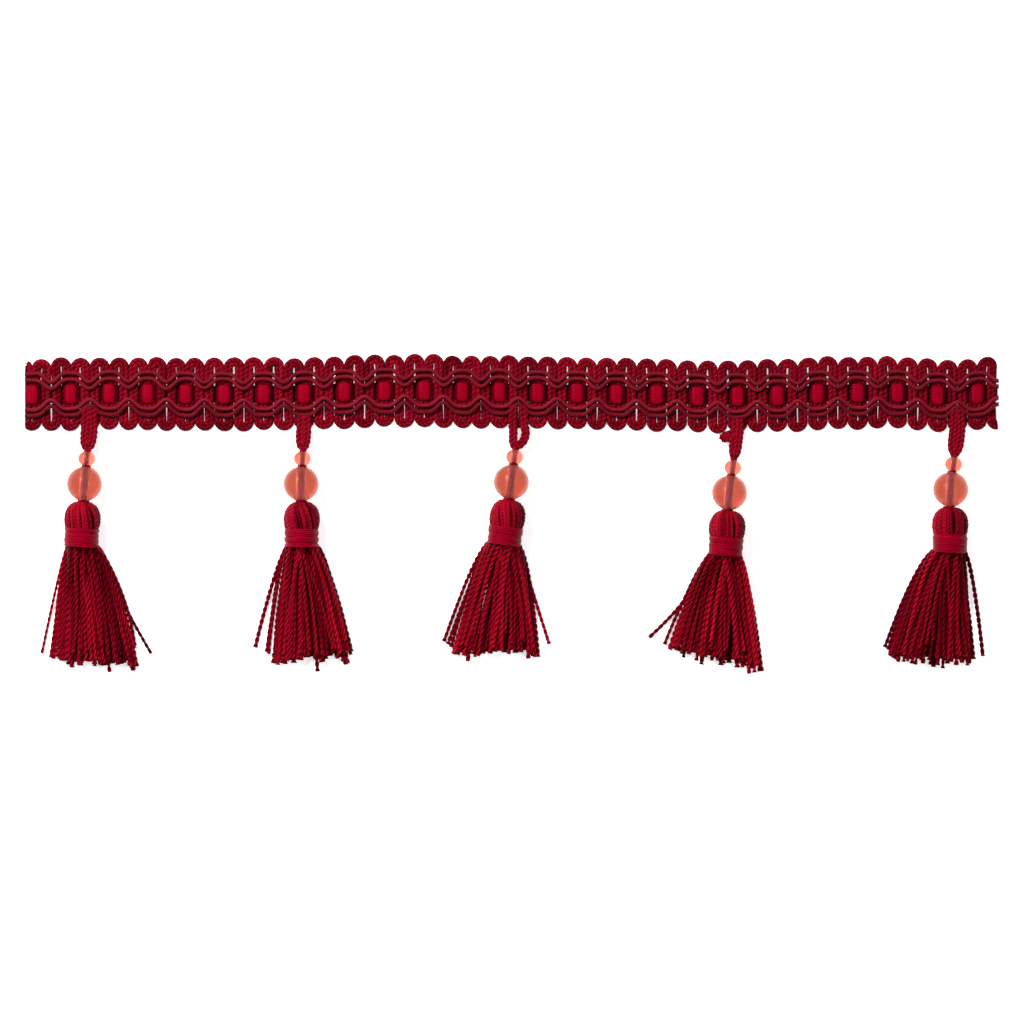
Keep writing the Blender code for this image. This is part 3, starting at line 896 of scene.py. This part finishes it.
@dataclass
class Tassel:
    """One hanging tassel with its loop, thread, beads, head, neck binding and skirt."""

    number: int
    skirt: tuple[float, float]
    skirt_half: float
    slope: float
    strays: tuple[tuple[float, float, float], ...]
    lay: BraidLay
    picot: int
    loop_half: float
    loop_lean: float = 0.0
    nub: bool = False
    # A tone offset for the whole skirt.
    tone_offset: float = 0.0
    # Painted shade: the skirt's tone changes by this much from its middle to its right edge, so that one side
    # is painted darker.
    side_shade_slope: float = 0.0
    strands: int = 86
    strand: Ply = Ply(radius=0.57, pitch=3.4, depth=0.42)
    head_radius: float = 4.95
    head_length: float = 7.4
    band_length: float = 5.6
    large_radius: float = 4.78
    large_half: float = 4.62
    small_radius: float = 2.32
    small_half: float = 2.0

    def middle(self, node: str) -> Array:
        """The middle of a CAD node's box, in millimetres."""
        low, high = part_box(f"{node}_{self.number}")
        return (np.array(low) + np.array(high)) / 2 / MM

    def __post_init__(self) -> None:
        """Reads the bead and band places from the frame and sets the tassel's axis and top from them."""
        self.large = self.middle("large_bead")
        self.small = self.middle("small_bead")
        self.band = self.middle("neck_binding")
        self.axis = unit(self.large - self.band)
        self.axis[2] = 0.0
        self.axis = unit(self.axis)
        self.across = np.array([self.axis[1], -self.axis[0], 0.0])
        self.up = np.array([0.0, 0.0, 1.0])
        self.top = self.band + self.axis * (self.band_length / 2 + 0.3 + self.head_length)
        self.top[2] = self.head_radius + 0.03
        self.rng = np.random.default_rng(100 + self.number)

    def local(self, across: Array, along: Array, up: Array) -> Array:
        """Points given across the tassel, along it down from its head's top, and above its axis.

        Args:
            across: Millimetres across.
            along: Millimetres down from the head's top.
            up: Millimetres above the axis.

        Returns:
            Points in the trim's own frame.
        """
        across, along, up = np.broadcast_arrays(across, along, up)
        return (
            self.top
            + across[..., None] * self.across
            - along[..., None] * self.axis
            + up[..., None] * self.up
        )

    def head_surface(self, share: Array) -> tuple[Array, Array]:
        """The path of a head yarn's outer side: out of the middle, over the top and down to the neck.

        The control points are joined by straight lines and then smoothed by a running mean.

        Args:
            share: From the yarn's hidden start, 0, to the neck, 1.

        Returns:
            Radius and depth below the head's top.
        """
        radii = np.array([0.2, 0.22, 0.32, 0.62, 0.86, 0.98, 1.0, 0.96, 0.84]) * self.head_radius
        depths = np.array([0.34, 0.12, 0.0, 0.05, 0.2, 0.42, 0.64, 0.86, 1.06]) * self.head_length
        knots = soften(resample(np.stack([radii, depths, 0 * radii], -1), 0.25), 12)
        places = np.linspace(0.0, 1.0, len(knots))
        return np.interp(share, places, knots[:, 0]), np.interp(share, places, knots[:, 1])

    def make_head(self, finish: bpy.types.Material) -> bpy.types.Object:
        """The head: yarns folded over the thread, each a leaning meridian round a dark core, whose darkness
        is painted shade between the yarns.

        A yarn's angle is base + (groove + lean * share) * s, where s rises from 0 to 1 over its first
        two thirds, and it lies as far out as head_surface says, less what it has sunk.

        Args:
            finish: The yarn.

        Returns:
            The new object.
        """
        yarns = 46
        share = np.linspace(0.0, 1.0, 40)[None, :]
        base = (np.arange(yarns) / yarns * 2 * math.pi)[:, None]
        base = base + self.rng.uniform(-0.4, 0.4, (yarns, 1)) / yarns * 2 * math.pi
        groove = 0.1 * np.exp(-((base - 0.3) ** 2) / 0.12) * np.sign(base - 0.3)
        lean = 0.35 + 0.3 * np.sin(base + self.number) + self.rng.uniform(-0.15, 0.15, (yarns, 1))
        start_in = np.sin(np.clip(share * 1.5, 0, 1) * math.pi / 2)
        angle = base + (groove + lean * share) * start_in
        radius, depth = self.head_surface(share + 0 * base)
        sunk = self.rng.uniform(-0.28, 0.14, (yarns, 1)) - 0.8 * np.exp(-((base - 0.12) ** 2) / 0.012)
        radius = np.maximum(radius - 0.5 + sunk * np.sin(share * math.pi), 0.25)
        path = self.local(radius * np.sin(angle), depth + 0.3, radius * np.cos(angle))
        middle = self.local(0.0 * radius, 0.0 * depth + 0.62 * self.head_length, 0.0 * radius)
        ply = Ply(radius=0.56, pitch=1.9, depth=0.38, sides=7)
        starts = self.rng.uniform(0, 2 * math.pi, (yarns, 1, 1))
        rings, along, crease = ply.rings(path, starts, unit(path - middle), 1.0)
        rings[..., 2] = np.maximum(rings[..., 2], 0.03)
        # Painted shade: the yarns on the head's right side are painted darker and those on its left lighter.
        tone = self.rng.uniform(0.05, 0.72, (yarns, 1, 1)) - 0.2 * np.sin(angle)[..., None]
        maker = MeshMaker()
        maker.add_tubes(rings, along, tone, crease * 0.9)
        # Painted shade: a dark core under the yarns, with tone 0.1 and crease value 0.9, shows as shade in
        # the gaps between them.
        core_share = np.linspace(0.3, 1.0, 14)[None, :]
        core_radius, core_depth = self.head_surface(core_share)
        core_path = self.local(0.0 * core_depth, core_depth + 0.4, 0.0 * core_depth)
        core, core_along = round_rings(core_path, np.maximum(core_radius - 1.0, 0.2), 24)
        maker.add_tubes(core, core_along, 0.1, 0.9)
        return maker.build(f"tassel_head_{self.number}", finish)

    def make_band(self, finish: bpy.types.Material) -> bpy.types.Object:
        """The neck binding: r = R + h * |sin(pi * (turns * v + a / 2 pi))|, uneven and a little tilted.

        Args:
            finish: The thread.

        Returns:
            The new object.
        """
        turns = 11.0
        v = np.linspace(0.0, 1.0, 89)
        angle = np.arange(72) * 2 * math.pi / 72
        slant = 0.03 * np.sin(angle + self.rng.uniform(0, 6.28))
        wander = 0.03 * np.sin(2 * angle + 5 * v[:, None] + self.rng.uniform(0, 6.28))
        phase = turns * (v[:, None] + slant + wander) + angle / (2 * math.pi) + 1.0
        ridge = np.abs(np.sin(math.pi * phase))
        fat = np.interp(v * 9, np.arange(10), self.rng.normal(0.0, 0.1, 10))[:, None]
        edge = 1 - np.exp(-np.minimum(v, 1 - v) / 0.025)[:, None]
        radius = 4.52 + 0.2 * ridge * edge + fat + 0.1 * edge + 0.14 * np.cos(2 * angle + 0.4)
        depth = self.head_length - 0.25 + v[:, None] * (self.band_length - 0.6)
        depth = depth + 0.15 * np.sin(angle + 1.0)
        rings = self.local(radius * np.sin(angle), depth, radius * np.cos(angle))
        rings[..., 2] = np.maximum(rings[..., 2], 0.05)
        maker = MeshMaker()
        along = (v * self.band_length)[None]
        tone = 0.5 + 0.3 * (self.rng.random(16)[np.clip(phase, 0, 15.9).astype(int)] - 0.5)
        # Painted shade: the thread is darkened between its wraps.
        maker.add_tubes(rings[None][:, ::-1], along, tone[None, ::-1], 0.7 * ((1 - ridge) ** 1.6)[None, ::-1])
        return maker.build(f"neck_binding_{self.number}_thread", finish)

    def make_skirt(self, finish: bpy.types.Material) -> bpy.types.Object:
        """The skirt: strands that leave the neck in rings, fan out and settle on the table.

        A strand's distance across is root + (end - root) * t^e, with e about 0.64, so that it opens
        early. Its height falls by (1 - t)^2, about, from the neck to its own level. All but the lowest
        strands waver a little, and the lowest lie evenly and are fuller, so that they close the skirt.

        Args:
            finish: The yarn.

        Returns:
            The new object.
        """
        count = self.strands
        rng = self.rng
        order = np.arange(count)
        golden = order * 2.399963
        ring = np.sqrt((order + 0.5) / count)
        root_x = 3.75 * ring * np.sin(golden)
        root_z = 3.5 * ring * np.cos(golden)
        level = (np.argsort(np.argsort(root_z)) + 0.5) / count
        crossing = rng.normal(0, 0.7, count) + rng.normal(0, 1.6, count) * (level > 0.75)
        place = (np.argsort(np.argsort(root_x + crossing)) + 0.5) / count * 2 - 1
        edge = 1 - 0.08 * level
        layer = level < 0.28
        place[layer] = np.linspace(-0.98, 0.98, layer.sum())[np.argsort(np.argsort(place[layer]))]
        end_x = self.skirt[0] + self.skirt_half * place * edge + rng.normal(0, 0.25, count) * ~layer
        short = 4.5 * rng.random(count) * (level > 0.85)
        end_y = self.skirt[1] - place * self.slope / 2 - rng.gamma(2.0, 0.5, count) + 1.0 + short
        thick = self.strand.radius
        end_z = thick * 0.85 + level * 3.6 * np.sqrt(np.clip(1 - place**2, 0.05, 1))
        end_x = np.concatenate([end_x, [stray[0] for stray in self.strays]])
        end_y = np.concatenate([end_y, [stray[1] for stray in self.strays]])
        end_z = np.concatenate([end_z, np.full(len(self.strays), thick * 0.85)])
        side = np.sign([stray[0] - self.skirt[0] for stray in self.strays])
        bend = rng.normal(0, 0.3, count) * (~layer + (level > 0.7))
        bend = np.concatenate([bend, np.zeros(len(self.strays))])
        root_x = np.concatenate([root_x, 3.6 * side])
        root_z = np.concatenate([root_z, np.full(len(self.strays), -1.2)])
        total = count + len(self.strays)
        t = np.linspace(0.0, 1.0, 57)[None, :]
        neck_end = self.head_length + self.band_length - 1.6
        root = self.local(root_x, np.full(total, neck_end), root_z)
        end = np.stack([end_x, end_y, end_z], -1)
        flat = root[:, None] + (end - root)[:, None] * t[..., None]
        early = 0.64 + rng.normal(0, 0.05, count) * ~layer
        early = np.concatenate([early, [stray[2] for stray in self.strays]])[:, None]
        reach = ((end - root) @ self.across)[:, None]
        open_out = ((t**early - t) * reach)[..., None] * self.across
        loose = np.concatenate([~layer, np.ones(len(self.strays))])[:, None]
        waver = rng.normal(0, 0.22, (total, 1)) * loose
        waver = waver * np.sin(t * rng.uniform(4, 9, (total, 1))) * t * (1.3 - t)
        hook = bend[:, None] * np.sin(t * math.pi) * t
        path = flat + open_out + (waver + hook)[..., None] * self.across
        fall = (1 - t) ** rng.uniform(1.7, 2.6, (total, 1))
        path[..., 2] = end_z[:, None] + (root[:, 2] - end_z)[:, None] * fall + 0.25 * np.abs(waver)
        starts = rng.uniform(0, 2 * math.pi, (total, 1, 1))
        fuller = np.concatenate([0.36 * layer, np.zeros(len(self.strays))])[:, None]
        swell = 1 + 0.1 * rng.normal(0, 1, (total, 1)) + 0.25 * np.clip((t - 0.95) / 0.05, 0, 1) ** 2
        swell = swell + fuller
        rings, along, crease = self.strand.rings(path, starts, None, swell)
        rings[..., 2] = np.maximum(rings[..., 2], 0.02)
        # Painted shade: the lower strands are darker by their level and each skirt darker towards one side by
        # the slope; the offset, the patches along x and the random part vary the tone.
        depth_shade = np.concatenate([level, np.full(len(self.strays), 0.5)])
        patch = 0.14 * np.sin(end[:, 0] * 0.55 + self.number)
        sideways = self.tone_offset + self.side_shade_slope * (end[:, 0] - self.skirt[0]) / self.skirt_half
        tone = (0.14 + 0.32 * depth_shade + patch + sideways + rng.normal(0, 0.2, total))[:, None, None]
        maker = MeshMaker()
        maker.add_tubes(rings, along, tone, crease * 0.9)
        return maker.build(f"tassel_skirt_{self.number}", finish)

    def make_bead(
        self, size: str, middle: Array, radius: float, half: float, finish: bpy.types.Material,
        bore_finish: bpy.types.Material,
    ) -> bpy.types.Object:
        """A bored bead: an oval shell with rounded rims, turned about the thread's direction.

        Args:
            size: large or small.
            middle: Its middle.
            radius: Its radius.
            half: Half its length along the thread.
            finish: The plastic outside.
            bore_finish: The frosted wall of the bore.

        Returns:
            The new object.
        """
        axis = self.bead_axis(size)
        across = unit(np.cross(axis, self.up))
        over = np.cross(across, axis)
        bore = 1.0 if size == "large" else 0.62
        limit = math.acos(bore / radius)
        arc = np.linspace(-limit, limit, 40)
        out_r = radius * np.cos(arc)
        out_h = half * np.sin(arc) / math.sin(limit)
        rim = np.linspace(0, math.pi, 7)[1:-1]
        lip = 0.09
        rim_r = bore + lip * 0.3 - lip * np.sin(rim) * 1.4
        top_h = half - lip * (1 - np.cos(rim)) * 0.8
        hole_h = np.linspace(top_h[-1], -top_h[-1], 12)
        hole_r = np.full(12, bore - 0.06)
        profile_r = np.concatenate([out_r, rim_r, hole_r, rim_r[::-1]])
        profile_h = np.concatenate([out_h, top_h, hole_h, -top_h[::-1]])
        angle = np.arange(48) * 2 * math.pi / 48
        ring = np.cos(angle)[:, None] * across + np.sin(angle)[:, None] * over
        points = middle + profile_r[:, None, None] * ring + profile_h[:, None, None] * axis
        obj = self.turned(f"{size}_bead_{self.number}_acrylic", points, finish)
        obj.data.materials.append(bore_finish)
        in_bore = np.repeat((profile_r < bore + 0.01) & (np.arange(len(profile_r)) > 44), 48)
        obj.data.polygons.foreach_set("material_index", in_bore.astype(np.int32))
        return obj

    def make_knots(self, finish: bpy.types.Material) -> bpy.types.Object:
        """The turns of thread that show at the beads' ends: small uneven rings round the bead thread.

        Args:
            finish: The yarn.

        Returns:
            The new object.
        """
        maker = MeshMaker()
        small_axis = self.bead_axis("small")
        large_axis = self.bead_axis("large")
        between = (self.small - small_axis * 2.1 + self.large + large_axis * 4.75) / 2
        ends = (
            (self.small + small_axis * 2.3, small_axis, 0.75),
            (between, large_axis, 1.0),
            (self.large - large_axis * 4.8, large_axis, 1.35),
        )
        for middle, axis, radius in ends:
            turn = np.linspace(0.0, 2.3 * 2 * math.pi, 44)
            across = unit(np.cross(axis, self.up))
            over = np.cross(across, axis)
            wide = radius * (1 + 0.16 * np.sin(3 * turn + self.number))
            rise = np.linspace(-0.22, 0.22, 44) + 0.1 * np.sin(turn * 1.3 + self.number)
            path = middle + (wide * np.cos(turn))[:, None] * across + (wide * np.sin(turn))[:, None] * over
            path = (path + rise[:, None] * axis)[None]
            rings, along, crease = Ply(radius=0.27, pitch=1.0, depth=0.35, sides=6).rings(path, 0.0)
            maker.add_tubes(rings, along, 0.45, crease * 0.8)
        return maker.build(f"bead_knots_{self.number}", finish)

    def turned(self, name: str, points: Array, finish: bpy.types.Material) -> bpy.types.Object:
        """A ring-shaped piece from a grid that closes both ways: quads join each row and column.

        Args:
            name: The piece's name.
            points: Points, shape (rows, columns, 3).
            finish: Its finish.

        Returns:
            The new object.
        """
        rows, columns, _ = points.shape
        row = np.arange(rows)[:, None]
        column = np.arange(columns)[None, :]
        next_row = (row + 1) % rows
        next_column = (column + 1) % columns
        here = row * columns
        after = next_row * columns
        corners = (here + column, after + column, after + next_column, here + next_column)
        quads = np.stack(np.broadcast_arrays(*corners), -1).reshape(-1, 4)
        mesh = bpy.data.meshes.new(name)
        mesh.from_pydata((points.reshape(-1, 3) * MM).tolist(), [], quads.tolist())
        mesh.polygons.foreach_set("use_smooth", np.ones(len(quads), dtype=bool))
        mesh.update()
        obj = bpy.data.objects.new(name, mesh)
        bpy.context.scene.collection.objects.link(obj)
        mesh.materials.append(finish)
        return obj

    def bead_axis(self, size: str) -> Array:
        """The thread's direction through a bead, up towards the braid.

        Args:
            size: large or small.

        Returns:
            A unit vector.
        """
        if size == "large":
            return unit(unit(self.small - self.large) + unit(self.large - self.top))
        return unit(unit(self.loop_foot() - self.small) + unit(self.small - self.large))

    def loop_foot(self) -> Array:
        """Where the loop leaves the braid's edge, at the middle of its two legs."""
        x = self.lay.first_window + self.picot * self.lay.pitch
        return self.lay.place(x, -8.6, 1.55)

    def make_thread(self, finish: bpy.types.Material) -> bpy.types.Object:
        """The bead thread: from the loop through both beads into the head, knotted inside the large bead.

        Args:
            finish: The yarn.

        Returns:
            The new object.
        """
        small_axis = self.bead_axis("small")
        large_axis = self.bead_axis("large")
        knots = np.array([
            self.small + small_axis * 2.75,
            self.small + small_axis * 1.5,
            self.small - small_axis * 1.6,
            (self.small + self.large) / 2 + large_axis * 1.1,
            self.large + large_axis * 3.8,
            self.large - large_axis * 3.8,
            self.top + self.axis * 0.3,
            self.top - self.axis * 1.2,
        ])
        path = soften(resample(knots, 0.3), 4)[None]
        ply = Ply(radius=0.42, pitch=2.0, depth=0.4)
        from_middle = np.linalg.norm(path - self.large, axis=-1)
        knot = 1 + 1.05 * np.exp(-((from_middle / 1.2) ** 4))
        rings, along, crease = ply.rings(path, 0.0, None, knot)
        maker = MeshMaker()
        maker.add_tubes(rings, along, 0.35, crease)
        return maker.build(f"bead_thread_{self.number}_strand", finish)

    def make_loop(self, finish: bpy.types.Material) -> bpy.types.Object:
        """The hanging loop: a doubled cord down one leg, round the small bead's thread and back up.

        Args:
            finish: The cord's yarn.

        Returns:
            The new object.
        """
        x = self.lay.first_window + self.picot * self.lay.pitch
        at_waist = self.picot % 2 == 1
        tuck = 3.6 if at_waist else 5.9
        tuck_z = 2.15 if at_waist else 1.5
        half = self.loop_half - 1.1
        foot = self.small + self.bead_axis("small") * 2.75
        edge = self.loop_foot()
        left, right = [], []
        shares = ((tuck, 0.7, tuck_z), (6.4, 0.85, (tuck_z + 1.55) / 2), (8.6, 0.9, 1.55))
        for across, share, z in shares:
            point = self.lay.place(x, -across, z)
            left.append(point - [half * share, 0, 0])
            right.append(point + [half * share, 0, 0])
        for at, share in ((0.35, 1.0), (0.7, 0.9), (0.93, 0.45)):
            lean = np.array([self.loop_lean * math.sin(at * math.pi), 0.0, 0.0])
            point = edge + (foot - edge) * at + lean
            left.append(point - [half * share, 0, 0])
            right.append(point + [half * share, 0, 0])
        knots = np.array([*left, foot, *right[::-1]])
        path = soften(resample(knots, 0.36), 5)
        if self.nub:
            path = self.with_nub(path)
        path = path[None]
        side, _ = frames(path)
        maker = MeshMaker()
        ply = Ply(radius=0.76, pitch=2.7, depth=0.27, flat=0.9)
        for sign in (-1.0, 1.0):
            rings, along, crease = ply.rings(path + side * 0.52 * sign, 1.1 * sign)
            rings[..., 2] = np.maximum(rings[..., 2], 0.02)
            maker.add_tubes(rings, along, 0.5, crease * 0.85)
        return maker.build(f"hanging_loop_{self.number}_cord", finish)

    def with_nub(self, path: Array) -> Array:
        """The path with its left leg pinched out sideways into a small bight.

        Args:
            path: Points, shape (points, 3).

        Returns:
            The new points.
        """
        edge = self.loop_foot()
        kink = edge + np.array([0.0, -2.1, 0.4])
        start = int(np.argmin(np.linalg.norm(path[: len(path) // 2] - (kink - [1.0, 0, 0]), axis=1)))
        out = np.array([
            kink + [-1.4, 0.6, 0.2],
            kink + [-3.4, 0.0, 0.1],
            kink + [-4.3, -0.5, 0.0],
            kink + [-3.5, -0.7, 0.1],
            kink + [-1.5, -0.2, 0.3],
        ])
        return soften(resample(np.concatenate([path[: start - 2], out, path[start + 2 :]]), 0.36), 3)

    def build(self, finishes: dict[str, bpy.types.Material]) -> list[bpy.types.Object]:
        """Makes and dresses every piece of this tassel and returns those that hang on the braid.

        Args:
            finishes: The finishes by name.

        Returns:
            The dressed pieces.
        """
        n = self.number
        yarn, cord, thread = finishes["yarn"], finishes["ground"], finishes["thread"]
        acrylic, frosted = finishes["acrylic"], finishes["frosted"]
        skirt = dress(self.make_skirt(yarn), Slot.TASSEL, f"tassel_{n}")
        head = dress(self.make_head(yarn), Slot.TASSEL, f"tassel_{n}")
        band = dress(self.make_band(thread), Slot.BINDING, f"neck_binding_{n}")
        large = self.make_bead("large", self.large, self.large_radius, self.large_half, acrylic, frosted)
        small = self.make_bead("small", self.small, self.small_radius, self.small_half, acrylic, frosted)
        dress(large, Slot.BEAD, f"large_bead_{n}")
        dress(small, Slot.BEAD, f"small_bead_{n}")
        strand = dress(self.make_thread(yarn), Slot.TASSEL, f"bead_thread_{n}")
        loop = dress(self.make_loop(cord), Slot.GROUND, f"hanging_loop_{n}")
        knots = dress(self.make_knots(yarn), Slot.TASSEL)
        return [skirt, head, band, large, small, strand, loop, knots]


@dataclass
class Studio:
    """The pale table, the soft lights and the camera straight above."""

    frame_width: float = 276.5
    lens: float = 300.0
    sensor: float = 36.0
    centre: tuple[float, float] = (0.0, -0.7)

    def make_floor(self) -> None:
        """A wide pale table under the trim."""
        half = 3000.0
        mesh = bpy.data.meshes.new("table")
        corners = [(-half, -half, 0), (half, -half, 0), (half, half, 0), (-half, half, 0)]
        mesh.from_pydata([tuple(value * MM for value in corner) for corner in corners], [], [(0, 1, 2, 3)])
        table = bpy.data.objects.new("table", mesh)
        bpy.context.scene.collection.objects.link(table)
        shader = ShaderTree("table_white")
        values = {
            "Base Color": (0.93, 0.93, 0.93, 1.0),
            "Roughness": 0.8,
            "Emission Color": (1.0, 1.0, 1.0, 1.0),
            "Emission Strength": 0.6,
        }
        mesh.materials.append(shader.finish(shader.node("ShaderNodeBsdfPrincipled", {}, values)))

    def make_light(self, name: str, place: tuple, size: float, power: float) -> None:
        """A square soft light at a place in millimetres, facing the middle of the trim.

        Args:
            name: Its name.
            place: Its place.
            size: Its side.
            power: Its power in watts.
        """
        data = bpy.data.lights.new(name, "AREA")
        data.shape = "SQUARE"
        data.size = size * MM
        data.energy = power
        light = bpy.data.objects.new(name, data)
        bpy.context.scene.collection.objects.link(light)
        light.location = tuple(value * MM for value in place)
        direction = -light.location
        light.rotation_euler = direction.to_track_quat("-Z", "Y").to_euler()

    def make_camera(self) -> None:
        """A long lens straight above: distance = frame width * lens / sensor."""
        data = bpy.data.cameras.new("camera")
        data.lens = self.lens
        data.sensor_width = self.sensor
        data.clip_end = 20.0
        camera = bpy.data.objects.new("camera", data)
        bpy.context.scene.collection.objects.link(camera)
        height = self.frame_width * self.lens / self.sensor
        camera.location = (self.centre[0] * MM, self.centre[1] * MM, height * MM)
        bpy.context.scene.camera = camera

    def make_world(self) -> None:
        """Even pale surroundings."""
        world = bpy.data.worlds.new("studio")
        world.use_nodes = True
        background = world.node_tree.nodes["Background"]
        background.inputs["Color"].default_value = (1.0, 1.0, 1.0, 1.0)
        background.inputs["Strength"].default_value = 0.2
        bpy.context.scene.world = world

    def build(self) -> None:
        """Sets the stage."""
        bpy.context.scene.view_settings.view_transform = "Standard"
        self.make_camera()
        self.make_floor()
        self.make_world()
        self.make_light("key", (-520.0, 520.0, 800.0), 420.0, 23.0)
        self.make_light("fill", (700.0, -200.0, 800.0), 700.0, 4.0)


def main() -> None:
    """Builds the studio, the tassels and the braid, in that order."""
    logging.basicConfig(level=logging.INFO, format="%(message)s")
    Studio().build()
    # Each yarn finish holds its dye colours and the colour of its painted crease shade.
    finishes = {
        "ground": YarnFinish(
            "ground_yarn_dye_and_shade", colour(80, 3, 14), colour(144, 10, 30), colour(42, 0, 6), mottle=0.55
        ).make(),
        "floss": YarnFinish(
            "satin_floss_dye_and_shade", colour(104, 0, 16), colour(144, 1, 27), colour(34, 0, 5),
            roughness=0.36, fibres_across=7.0, mottle=0.3,
        ).make(),
        "gimp": WoundFinish(
            "scroll_gimp_dye_and_shade", colour(66, 3, 14), colour(114, 17, 32), colour(44, 0, 6)
        ).make(),
        "yarn": YarnFinish(
            "tassel_yarn_dye_and_shade", colour(72, 0, 12), colour(166, 11, 33), colour(32, 0, 4), mottle=0.5
        ).make(),
        "thread": YarnFinish(
            "binding_thread_dye_and_shade", colour(104, 0, 18), colour(150, 4, 34), colour(48, 0, 8), roughness=0.4
        ).make(),
        "acrylic": BeadFinish("coral_acrylic", colour(214, 120, 98), colour(198, 94, 74)).make(),
        "frosted": BeadFinish(
            "frosted_bore", colour(214, 196, 236), colour(186, 150, 206), 0.3, 0.5, clearness=0.5
        ).make(),
    }
    lay = BraidLay()
    tassels = (
        Tassel(
            1, (-111.3, -41.2), 10.4, 0.6,
            ((-126.9, -38.8, 0.8), (-124.6, -39.9, 0.66), (-123.7, -40.3, 0.62), (-122.9, -39.8, 0.7),
             (-122.2, -40.4, 0.58), (-97.3, -38.9, 1.12)),
            lay, 3, 2.25, tone_offset=-0.05, side_shade_slope=-0.14,
        ),
        Tassel(
            2, (-53.9, -40.1), 10.7, -2.2,
            ((-69.3, -37.2, 0.75), (-66.2, -38.4, 0.6), (-65.7, -39.0, 0.6)),
            lay, 14, 2.0, tone_offset=-0.02,
        ),
        Tassel(
            3, (-4.5, -38.6), 11.8, 0.0,
            ((-18.4, -35.6, 0.66), (-17.3, -36.4, 0.8), (-16.4, -37.2, 0.6), (10.0, -36.3, 1.0)),
            lay, 25, 2.8, 0.7, tone_offset=0.04,
        ),
        Tassel(
            4, (54.8, -40.3), 12.8, 5.0,
            ((37.0, -34.6, 1.45), (41.2, -36.4, 0.75)),
            lay, 36, 1.75, nub=True, tone_offset=0.07, side_shade_slope=0.08,
        ),
        Tassel(
            5, (113.2, -40.4), 11.6, 1.0,
            ((100.6, -37.2, 0.66), (101.6, -37.9, 0.6), (102.6, -38.6, 0.6), (127.1, -39.6, 0.6)),
            lay, 47, 2.2, tone_offset=-0.1, side_shade_slope=-0.06,
        ),
    )
    hung = []
    for tassel in tassels:
        hung += tassel.build(finishes)
    Braid(lay, finishes["ground"], finishes["floss"], finishes["gimp"]).build(hung)


if __name__ == "__main__":
    main()
